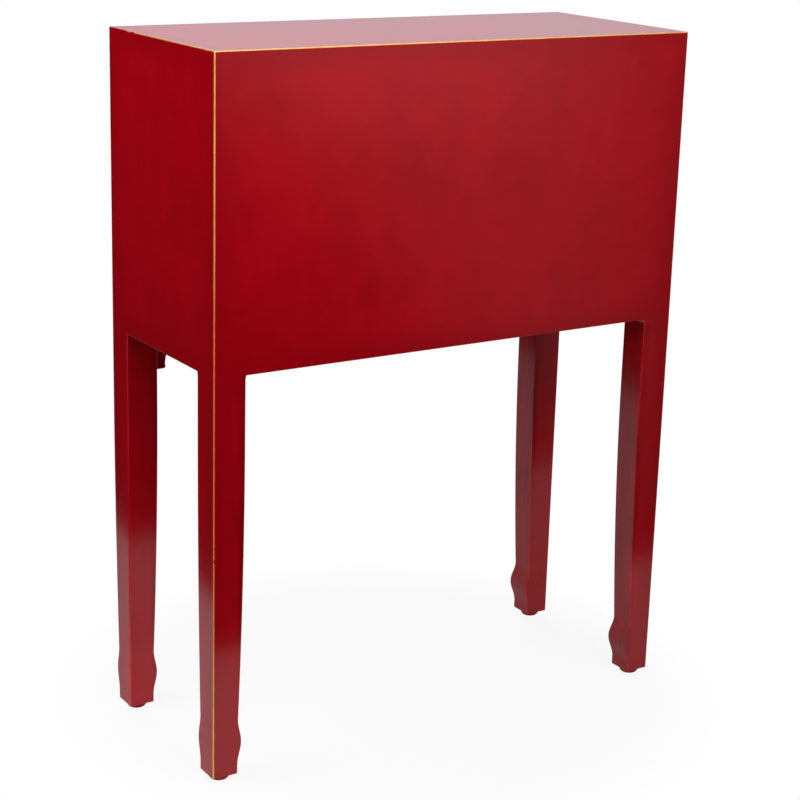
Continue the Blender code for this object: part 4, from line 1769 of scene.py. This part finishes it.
@dataclass
class Pulls:
    """Brass eyes, plates and swinging pulls, shared by the drawer and the doors."""

    plan: CasePlan
    palette: Palette
    eye_head: float = 0.0046
    eye_neck: float = 0.0026
    eye_collar: float = 0.0042
    eye_shank: float = 0.0016
    eye_shank_length: float = 0.011
    eye_reach: float = 0.0095
    collar_height: float = 0.0012
    collar_steps: int = 8
    head_steps: int = 14
    eye_facets: int = 40
    bore_facets: int = 28
    rod_radius: float = 0.0020
    rod_play: float = 0.0004
    rod_waist: float = 0.94  # share of the radius at the pull's axis
    rod_swell: float = 0.14  # share that is added down to its foot
    plate_thickness: float = 0.0012
    plate_gap: float = 0.0003
    plate_ease: float = 0.00022
    rim: float = 0.0020
    rim_drop: float = 0.0003
    pin_radius: float = 0.0011
    pin_height: float = 0.0008
    pin_steps: int = 5
    pin_facets: int = 16

    @property
    def plate_face(self) -> float:
        """Where the front of a plate is."""
        return self.plan.front - self.plate_gap - self.plate_thickness

    def eye(self, x: float, z: float) -> Workpiece:
        """Turn an eye and drill its cross hole.

        Args:
            x: Where it stands across the table.
            z: Its height.

        Returns:
            The eye, with its shank in the wood.
        """
        collar = self.plan.front - self.plate_face
        neck_turn = -math.degrees(math.acos(self.eye_neck / self.eye_head))
        bead = self.collar_height / 2
        bead_middle = (self.eye_collar - bead, collar + bead)
        profile = [(0.0, -self.eye_shank_length), (self.eye_shank, -self.eye_shank_length)]
        profile += [(self.eye_shank, collar)]
        profile += arc(bead_middle, bead, -90.0, 90.0, self.collar_steps)
        profile += arc((0.0, self.eye_reach), self.eye_head, neck_turn, 90.0, self.head_steps)
        base = (x, self.plan.front, z)
        made = Workpiece.turned("eye", profile, base, FORWARDS, self.eye_facets)
        bore = self.rod_radius + self.rod_play
        start = (x - 2 * self.eye_head, self.plan.front - self.eye_reach, z)
        through = [(0.0, 0.0), (bore, 0.0), (bore, 4 * self.eye_head), (0.0, 4 * self.eye_head)]
        made.carve(Workpiece.turned("bore", through, start, RIGHTWARDS, self.bore_facets))
        return made.give(self.palette.brass)

    def pin(self, x: float, z: float) -> Workpiece:
        """Turn a domed pin that holds a plate.

        Args:
            x: Where it stands across the table.
            z: Its height.

        Returns:
            The pin, with its foot inside the plate.
        """
        foot = self.plate_thickness / 2
        turns = [math.pi / 2 * i / self.pin_steps for i in range(self.pin_steps + 1)]
        profile = [(0.0, 0.0), (self.pin_radius, 0.0)]
        profile += [
            (self.pin_radius * math.cos(t), foot + self.pin_height * math.sin(t)) for t in turns
        ]
        base = (x, self.plate_face + self.plate_thickness, z)
        return Workpiece.turned("pin", profile, base, FORWARDS, self.pin_facets)

    def plate(self, outline: Sequence[Flat], pins: Sequence[Flat]) -> Workpiece:
        """Cut a sheet brass plate with a raised rim and set its pins.

        Args:
            outline: Points across and up.
            pins: Places of its pins, across and up.

        Returns:
            The plate.
        """
        back = self.plan.front - self.plate_gap
        corners = [Vector((x, back, z)) for x, z in outline]
        made = Workpiece.plate("plate", corners, (0.0, -self.plate_thickness, 0.0))
        made.sink(facing(FORWARDS), self.rim, (0.0, self.rim_drop, 0.0))
        made.ease(self.plate_ease, angle=SHEET_ANGLE)
        made.join(*[self.pin(x, z) for x, z in pins])
        return made.give(self.palette.brass)

    def hanging(
        self, name: str, outline: Sequence[Flat], axis: Flat, drop: float, closed: bool
    ) -> Workpiece:
        """Bend a hanging pull, thinner at its axis and fuller at its foot.

        Args:
            name: The pull's name.
            outline: Points across and above its axis.
            axis: Where the middle of its axis is, across and up.
            drop: How far it hangs below its axis.
            closed: Whether it closes on itself.

        Returns:
            The pull.
        """
        y = self.plan.front - self.eye_reach
        points = [Vector((axis[0] + x, y, axis[1] + z)) for x, z in outline]

        def radius(point: Vector) -> float:
            """The rod's radius at a point."""
            share = min(1.0, max(0.0, (axis[1] - point.z) / drop))
            return self.rod_radius * (self.rod_waist + self.rod_swell * share)

        return Workpiece.rod(name, points, radius, closed).give(self.palette.brass)


@dataclass
class Drawer:
    """The drawer: a lacquered front, a wooden box, and a bail on a brass plate."""

    plan: CasePlan
    palette: Palette
    pulls: Pulls
    edge_round: float = 0.0015
    groove_depth: float = 0.004
    side_ease: float = 0.0012
    board_ease: float = 0.0006
    plate_half: Flat = (0.050, 0.015)
    plate_corner: float = 0.005
    pin_place: Flat = (0.044, -0.006)
    eye_spread: float = 0.034
    bail_end: float = 0.0055
    bail_shoulder: float = 0.007
    bend_radius: float = 0.005
    foot_radius: float = 0.014
    bail_drop: float = 0.028
    bend_steps: int = 10

    def add_front(self) -> None:
        """Model the front, grooved for the bottom and gilded round its face."""
        low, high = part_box("drawer_front")
        front = Workpiece.block("front", low, high).give(*self.palette.coats())
        bottom_low, bottom_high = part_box("drawer_bottom")
        cut_low = (bottom_low.x, high.y - self.groove_depth, bottom_low.z)
        cut_high = (bottom_high.x, high.y + self.groove_depth, bottom_high.z)
        front.carve(Workpiece.block("groove", cut_low, cut_high))
        front.round_edges(edges_at(y=low.y), self.edge_round, coat=Coat.GOLD)
        front.paint(facing(BACKWARDS), Coat.WOOD)
        front.fit("drawer_front", "drawer", Slot.LACQUER)

    def add_box(self) -> None:
        """Model the sides, back and bottom of bare wood."""
        bottom_low, bottom_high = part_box("drawer_bottom")
        low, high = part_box("drawer_side_right")
        deep = bottom_high.x
        outline = [
            (high.x, low.z),
            (high.x, high.z),
            (low.x, high.z),
            (low.x, bottom_high.z),
            (deep, bottom_high.z),
            (deep, bottom_low.z),
            (low.x, bottom_low.z),
            (low.x, low.z),
        ]
        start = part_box("drawer_front")[1].y
        corners = [Vector((x, start, z)) for x, z in outline]
        right = Workpiece.plate("side", corners, (0.0, high.y - start, 0.0))
        right.give(self.palette.wood(Grain.ALONG_Y))
        right.round_edges(edges_at(z=high.z), self.side_ease)
        right.fit_pair("drawer_side_right", "drawer", Slot.WOOD)
        for node in ("drawer_bottom", "drawer_back"):
            board = Workpiece.block(node, *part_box(node)).give(self.palette.wood(Grain.ALONG_X))
            board.ease(self.board_ease)
            board.fit(node, "drawer", Slot.WOOD)

    def add_pull(self) -> None:
        """Set the plate, its two eyes and the bail."""
        low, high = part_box("drawer_plate")
        level = (low.z + high.z) / 2
        plate = self.pulls.plate(self.plate_outline(level), self.pin_places(level))
        plate.fit("drawer_plate", "drawer", Slot.BRASS)
        eye = self.pulls.eye(self.eye_spread, level)
        eye.fit_pair("drawer_eye_right", "drawer", Slot.BRASS)
        axis = (0.0, level)
        bail = self.pulls.hanging("bail", self.bail_outline(), axis, self.bail_drop, closed=False)
        bail.fit("drawer_bail", "bail", Slot.BRASS)

    def plate_outline(self, level: float) -> list[Flat]:
        """Draw the plate, hollowed at its four corners.

        Args:
            level: The height of its middle.

        Returns:
            Points across and up.
        """
        long, tall = self.plate_half
        outline = []
        for across, up, start in ((1, 1, 270.0), (-1, 1, 360.0), (-1, -1, 90.0), (1, -1, 180.0)):
            corner = (across * long, level + up * tall)
            outline += arc(corner, self.plate_corner, start, start - 90.0, self.bend_steps)
        return outline

    def pin_places(self, level: float) -> list[Flat]:
        """Where the plate's two pins are, across and up."""
        across, up = self.pin_place
        return [(-across, level + up), (across, level + up)]

    def bail_outline(self) -> list[Flat]:
        """Draw the bail from one end in its eye to the other.

        Returns:
            Points across the table and above the bail's axis.
        """
        shoulder = self.eye_spread + self.bail_shoulder
        side = shoulder + self.bend_radius
        bend = arc((shoulder, -self.bend_radius), self.bend_radius, 90.0, 0.0, self.bend_steps)
        middle = (side - self.foot_radius, self.foot_radius - self.bail_drop)
        foot = arc(middle, self.foot_radius, 0.0, -90.0, self.bend_steps)
        half = [(self.eye_spread - self.bail_end, 0.0), *bend, *foot]
        return half + [(-x, z) for x, z in reversed(half)]

    def build(self) -> None:
        """Model the drawer's front, box and pull."""
        self.add_front()
        self.add_box()
        self.add_pull()


@dataclass
class Doors:
    """Two inset doors that share a round brass plate, each with a ring pull and a strike."""

    plan: CasePlan
    palette: Palette
    pulls: Pulls
    edge_round: float = 0.0015
    plate_radius: float = 0.042
    plate_steps: int = 48
    pin_inset: float = 0.0052
    pin_turn: float = 66.0
    pin_count: int = 5
    eye_offset: float = 0.0175
    bar_half: float = 0.0065
    corner_radius: float = 0.003
    corner_steps: int = 8
    bowl_radius: float = 0.012
    bowl_drop: float = 0.021
    bowl_steps: int = 48
    strike_corner: float = 0.0019
    strike_strips: int = 4
    strike_ease: float = 0.0002
    strike_rim: float = 0.0016
    strike_dish: float = 0.0002

    def add_panels(self) -> None:
        """Model the right door, gilded round its face, and mirror it."""
        low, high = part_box("door_right")
        right = Workpiece.block("door", low, high).give(*self.palette.coats())
        right.round_edges(edges_at(y=low.y), self.edge_round, coat=Coat.GOLD)
        right.round_edges(edges_at(y=high.y), self.plan.small_round, EASE_STRIPS)
        right.fit_pair("door_right", "right_door", Slot.LACQUER)

    def add_plates(self) -> None:
        """Cut half of the round plate and mirror it."""
        low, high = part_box("door_plate_right")
        middle = (0.0, (low.z + high.z) / 2)
        reach = math.degrees(math.acos(low.x / self.plate_radius))
        outline = arc(middle, self.plate_radius, -reach, reach, self.plate_steps)
        pin_circle = self.plate_radius - self.pin_inset
        pins = arc(middle, pin_circle, -self.pin_turn, self.pin_turn, self.pin_count - 1)
        right = self.pulls.plate(outline, pins)
        right.fit_pair("door_plate_right", "right_door", Slot.BRASS)

    def ring_outline(self) -> list[Flat]:
        """Draw a pear-shaped ring with a straight bar on its axis.

        Returns:
            Points across and above the ring's axis.
        """
        corner = (self.bar_half, -self.corner_radius)
        bowl = (0.0, -self.bowl_drop)
        apart = math.hypot(corner[0] - bowl[0], corner[1] - bowl[1])
        slope = math.degrees(math.atan2(corner[1] - bowl[1], corner[0] - bowl[0]))
        # The flank is the common tangent of the corner's circle and the bowl's circle.
        flank = slope - math.degrees(math.acos((self.bowl_radius - self.corner_radius) / apart))
        right = arc(corner, self.corner_radius, 90.0, flank, self.corner_steps)
        below = arc(bowl, self.bowl_radius, flank, -180.0 - flank, self.bowl_steps)
        return right + below + [(-x, z) for x, z in reversed(right)]

    def add_rings(self) -> None:
        """Turn an eye, bend a ring through it, and mirror both."""
        low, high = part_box("door_eye_right")
        axis = (self.eye_offset, (low.z + high.z) / 2)
        self.pulls.eye(*axis).fit_pair("door_eye_right", "right_door", Slot.BRASS)
        drop = self.bowl_drop + self.bowl_radius
        right = self.pulls.hanging("ring", self.ring_outline(), axis, drop, closed=True)
        right.fit_pair("door_ring_right", "right_ring", Slot.BRASS)

    def add_strikes(self) -> None:
        """Press the strike plates, round at their corners and dished behind their rims."""
        low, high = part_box("door_strike_right")
        right = Workpiece.block("strike", low, high)
        corners = [edges_at(x=x, z=z) for x in (low.x, high.x) for z in (low.z, high.z)]
        right.round_edges(any_of(corners), self.strike_corner, self.strike_strips)
        right.ease(self.strike_ease)
        inwards = (0.0, -self.strike_dish, 0.0)
        right.sink(facing(BACKWARDS, STRAIGHT), self.strike_rim, inwards)
        right.give(self.palette.steel)
        right.fit_pair("door_strike_right", "right_door", Slot.STEEL)

    def build(self) -> None:
        """Model both doors with all that they carry but the hinges."""
        self.add_panels()
        self.add_plates()
        self.add_rings()
        self.add_strikes()


@dataclass
class Hinges:
    """Four brass butt hinges, each with two leaves and a pin."""

    plan: CasePlan
    palette: Palette
    knuckle_radius: float = 0.0028
    knuckle_play: float = 0.0004
    knuckle_edge: float = 0.0003
    knuckle_facets: int = 32
    leaf_depth: float = 0.0135
    leaf_thickness: float = 0.0009
    leaf_ease: float = 0.0002
    pin_radius: float = 0.0011
    pin_facets: int = 28
    finial_radius: float = 0.0023
    finial_steps: int = 8

    def leaf(self, level: Level, kind: Leaf) -> Workpiece:
        """Make a leaf of the right door's hinge with its knuckles.

        Args:
            level: Which hinge is meant.
            kind: Whether the leaf is set in the post or in the door.

        Returns:
            The leaf.
        """
        axis = self.axis(level)
        low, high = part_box(f"hinge_right_{level.word}_post_leaf")
        third = (high.z - low.z - 2 * self.knuckle_play) / 3
        own_low, own_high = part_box(f"hinge_right_{level.word}_{kind.word}_leaf")
        if kind is Leaf.POST:
            sheet = (own_high.x - self.leaf_thickness, own_high.x)
            spans = [(low.z, low.z + third), (high.z - third, high.z)]
        else:
            sheet = (own_low.x, own_low.x + self.leaf_thickness)
            spans = [(low.z + third + self.knuckle_play, high.z - third - self.knuckle_play)]
        start = (sheet[0], self.plan.front, low.z)
        end = (sheet[1], self.plan.front + self.leaf_depth, high.z)
        leaf = Workpiece.block("leaf", start, end).ease(self.leaf_ease)
        for foot, head in spans:
            leaf.join(self.knuckle(axis, foot, head, sheet))
        return leaf.give(self.palette.brass)

    def axis(self, level: Level) -> Vector:
        """The foot of a right hinge's axis."""
        low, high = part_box(f"hinge_right_{level.word}_pin")
        return Vector(((low.x + high.x) / 2, (low.y + high.y) / 2, low.z))

    def knuckle(self, axis: Vector, start: float, end: float, sheet: Flat) -> Workpiece:
        """Roll one knuckle and the tab that joins it to its leaf.

        Args:
            axis: The foot of the hinge's axis.
            start: The knuckle's lower end.
            end: Its upper end.
            sheet: The two faces of the leaf across the table.

        Returns:
            The knuckle.
        """
        edge = self.knuckle_edge
        radius = self.knuckle_radius
        bore = self.pin_radius
        tall = end - start
        profile = [(bore, 0.0), (radius - edge, 0.0), (radius, edge), (radius, tall - edge)]
        profile += [(radius - edge, tall), (bore, tall), (bore, 0.0)]
        base = (axis.x, axis.y, start)
        barrel = Workpiece.turned("knuckle", profile, base, UP, self.knuckle_facets)
        tab_low = (sheet[0], axis.y + bore + edge, start + edge)
        tab_high = (sheet[1], self.plan.front + edge, end - edge)
        return barrel.join(Workpiece.block("tab", tab_low, tab_high))

    def pin(self, level: Level) -> Workpiece:
        """Turn a pin with a finial at each end.

        Args:
            level: Which hinge is meant.

        Returns:
            The pin.
        """
        low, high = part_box(f"hinge_right_{level.word}_pin")
        ball = self.finial_radius
        start, end = ball, high.z - low.z - ball
        profile = arc((0.0, start), ball, -90.0, 0.0, self.finial_steps)
        profile += [(self.pin_radius, start), (self.pin_radius, end)]
        profile += arc((0.0, end), ball, 0.0, 90.0, self.finial_steps)
        made = Workpiece.turned("hinge_pin", profile, self.axis(level), UP, self.pin_facets)
        return made.give(self.palette.brass)

    def build(self) -> None:
        """Make the right door's hinges and mirror them for the left door."""
        for level in Level:
            stem = f"hinge_right_{level.word}"
            post_leaf = self.leaf(level, Leaf.POST)
            door_leaf = self.leaf(level, Leaf.DOOR)
            pin = self.pin(level)
            post_leaf.fit_pair(f"{stem}_post_leaf", "case", Slot.BRASS)
            door_leaf.fit_pair(f"{stem}_door_leaf", "right_door", Slot.BRASS)
            pin.fit_pair(f"{stem}_pin", "case", Slot.BRASS)


@dataclass(frozen=True)
class Softbox:
    """A softbox: where it hangs, what it is aimed at, how wide, how tall and how strong it is."""

    name: str
    place: Point
    aim: Point
    wide: float
    tall: float
    power: float

    def hang(self) -> None:
        """Hang the softbox, out of the camera's sight."""
        place = Vector(self.place)
        turn = (Vector(self.aim) - place).to_track_quat("-Z", "Y").to_euler()
        bpy.ops.object.light_add(type="AREA", location=place, rotation=turn)
        light = bpy.context.active_object
        light.name = self.name
        light.data.shape = "ELLIPSE"
        light.data.size = self.wide
        light.data.size_y = self.tall
        light.data.energy = self.power
        light.visible_camera = False


@dataclass(frozen=True)
class BrightPatch:
    """A bright stretch of the studio's walls, in degrees.

    Attributes:
        turn: Where it starts and ends, going round from the back towards the table's left end.
        rise: How low and how high it reaches.
        soft: How far its edges fade on either side, going round and going up.
        light: Its brightness in each colour.
        lean: How far its start goes round for each degree down.
    """

    turn: Flat
    rise: Flat
    soft: Flat
    light: Colour
    lean: float = 0.0

    def cover(self, wiring: Wiring, turn: Socket, rise: Socket) -> Socket:
        """Find how much of the patch's light comes from a direction.

        Args:
            wiring: The world's nodes.
            turn: How far round the direction is.
            rise: How far up it is.

        Returns:
            The share, 1 inside the patch.
        """
        round_soft, up_soft = self.soft
        leant = wiring.calc("ADD", turn, wiring.product(rise, self.lean))
        return wiring.product(
            wiring.fade(leant, self.turn[0] - round_soft, self.turn[0] + round_soft),
            wiring.fade(turn, self.turn[1] - round_soft, self.turn[1] + round_soft, 1.0, 0.0),
            wiring.fade(rise, self.rise[0] - up_soft, self.rise[0] + up_soft),
            wiring.fade(rise, self.rise[1] - up_soft, self.rise[1] + up_soft, 1.0, 0.0),
        )


@dataclass
class Studio:
    """A pale floor under soft light, with a bright side to the room and a camera."""

    floor_low: Flat = (-1.30, -1.60)
    floor_high: Flat = (0.58, 0.465)
    dim_light: float = 0.01
    patches: tuple[BrightPatch, ...] = (
        BrightPatch(
            turn=(22.5, 40.5), rise=(-40.0, 30.0), soft=(2.0, 6.0), light=(0.22, 0.22, 0.22), lean=0.867
        ),
        BrightPatch(turn=(26.0, 38.0), rise=(-8.0, 30.0), soft=(4.0, 1.5), light=(0.33, 0.33, 0.34)),
        BrightPatch(turn=(125.0, 168.0), rise=(-6.0, 30.0), soft=(10.0, 8.0), light=(0.68, 0.63, 0.68)),
    )
    softboxes: tuple[Softbox, ...] = (
        Softbox(
            "softbox_above",
            place=(0.08, 1.00, 1.45),
            aim=(0.0, 0.10, 0.60),
            wide=1.6,
            tall=0.9,
            power=13.8,
        ),
        Softbox(
            "softbox_beside",
            place=(1.35, -0.10, 1.85),
            aim=(0.30, 0.0, 0.60),
            wide=1.4,
            tall=1.4,
            power=25.0,
        ),
        Softbox(
            "softbox_by_camera",
            place=(0.85, 0.90, 0.35),
            aim=(0.25, 0.0, 0.25),
            wide=0.9,
            tall=0.9,
            power=1.0,
        ),
        Softbox(
            "softbox_in_front",
            place=(-0.70, -1.70, 1.95),
            aim=(0.0, -0.12, 0.50),
            wide=2.0,
            tall=0.9,
            power=14.0,
        ),
    )
    azimuth: float = 146.885
    elevation: float = 15.749
    roll: float = 1.654
    distance: float = 2.4029
    target: Point = (-0.0047, 0.00705, 0.4143)
    lens: float = 87.81
    sensor: float = 36.0
    shift_y: float = -0.03

    def add_floor(self) -> None:
        """Lay a sheet of pale paper."""
        bpy.ops.object.select_all(action="DESELECT")
        middle = [(a + b) / 2 for a, b in zip(self.floor_low, self.floor_high)]
        size = [b - a for a, b in zip(self.floor_low, self.floor_high)]
        bpy.ops.mesh.primitive_plane_add(size=1.0, location=(*middle, 0.0))
        bpy.ops.transform.resize(value=(*size, 1.0))
        floor = Workpiece.adopt("floor").give(Paper("floor_paper"))

    def add_room(self) -> None:
        """Light the walls in patches, and show the camera plain white behind the table."""
        world = bpy.data.worlds.new("studio_room")
        world.use_nodes = True
        bpy.context.scene.world = world
        wiring = Wiring(world.node_tree)
        wiring.tree.nodes.clear()
        x, y, z = wiring.apart(wiring.node("ShaderNodeTexCoord").outputs["Generated"])
        turn = wiring.calc("DEGREES", wiring.calc("ARCTAN2", wiring.product(x, -1.0), y))
        rise = wiring.calc("DEGREES", wiring.calc("ARCSINE", z))
        room = self.wall(wiring, WHITE, self.dim_light)
        for patch in self.patches:
            lit = self.wall(wiring, patch.light, patch.cover(wiring, turn, rise))
            room = wiring.join_shaders("ShaderNodeAddShader", room, lit).outputs[0]
        white = self.wall(wiring, WHITE, 1.0)
        chosen = wiring.join_shaders("ShaderNodeMixShader", room, white)
        wiring.feed(chosen.inputs["Fac"], wiring.node("ShaderNodeLightPath").outputs["Is Camera Ray"])
        wiring.node("ShaderNodeOutputWorld", surface=chosen.outputs[0])

    def wall(self, wiring: Wiring, light: Colour, strength: Value) -> Socket:
        """Light the walls in one colour, as strongly as said for each direction or everywhere."""
        made = wiring.node("ShaderNodeBackground", color=light, strength=strength)
        return made.outputs["Background"]

    def add_camera(self) -> None:
        """Set the camera at the photograph's viewing angle."""
        turn, rise, lean = (math.radians(a) for a in (self.azimuth, self.elevation, self.roll))
        level = math.cos(rise)
        back = Vector((math.sin(turn) * level, -math.cos(turn) * level, math.sin(rise)))
        right = Vector(UP).cross(back).normalized()
        up = back.cross(right)
        leant_right = right * math.cos(lean) + up * math.sin(lean)
        leant_up = up * math.cos(lean) - right * math.sin(lean)
        axes = Matrix((leant_right, leant_up, back)).transposed()
        place = Vector(self.target) + back * self.distance
        bpy.ops.object.camera_add(location=place, rotation=axes.to_euler())
        camera = bpy.context.active_object
        camera.name = "camera"
        camera.data.sensor_width = self.sensor
        camera.data.lens = self.lens
        camera.data.shift_y = self.shift_y
        bpy.context.scene.camera = camera

    def build(self) -> None:
        """Set up the floor, the light and the camera."""
        self.add_floor()
        self.add_room()
        for softbox in self.softboxes:
            softbox.hang()
        self.add_camera()
        bpy.context.scene.view_settings.view_transform = "Standard"


def main() -> None:
    """Build the studio and dress every sub-assembly of the table."""
    logging.basicConfig(level=logging.INFO, format="%(message)s")
    plan = CasePlan.from_frame()
    palette = Palette.for_plan(plan)
    pulls = Pulls(plan, palette)
    Studio().build()
    Legs(plan, palette).build()
    CaseShell(plan, palette).build()
    CaseInside(plan, palette).build()
    Drawer(plan, palette, pulls).build()
    Doors(plan, palette, pulls).build()
    Hinges(plan, palette).build()


if __name__ == "__main__":
    main()
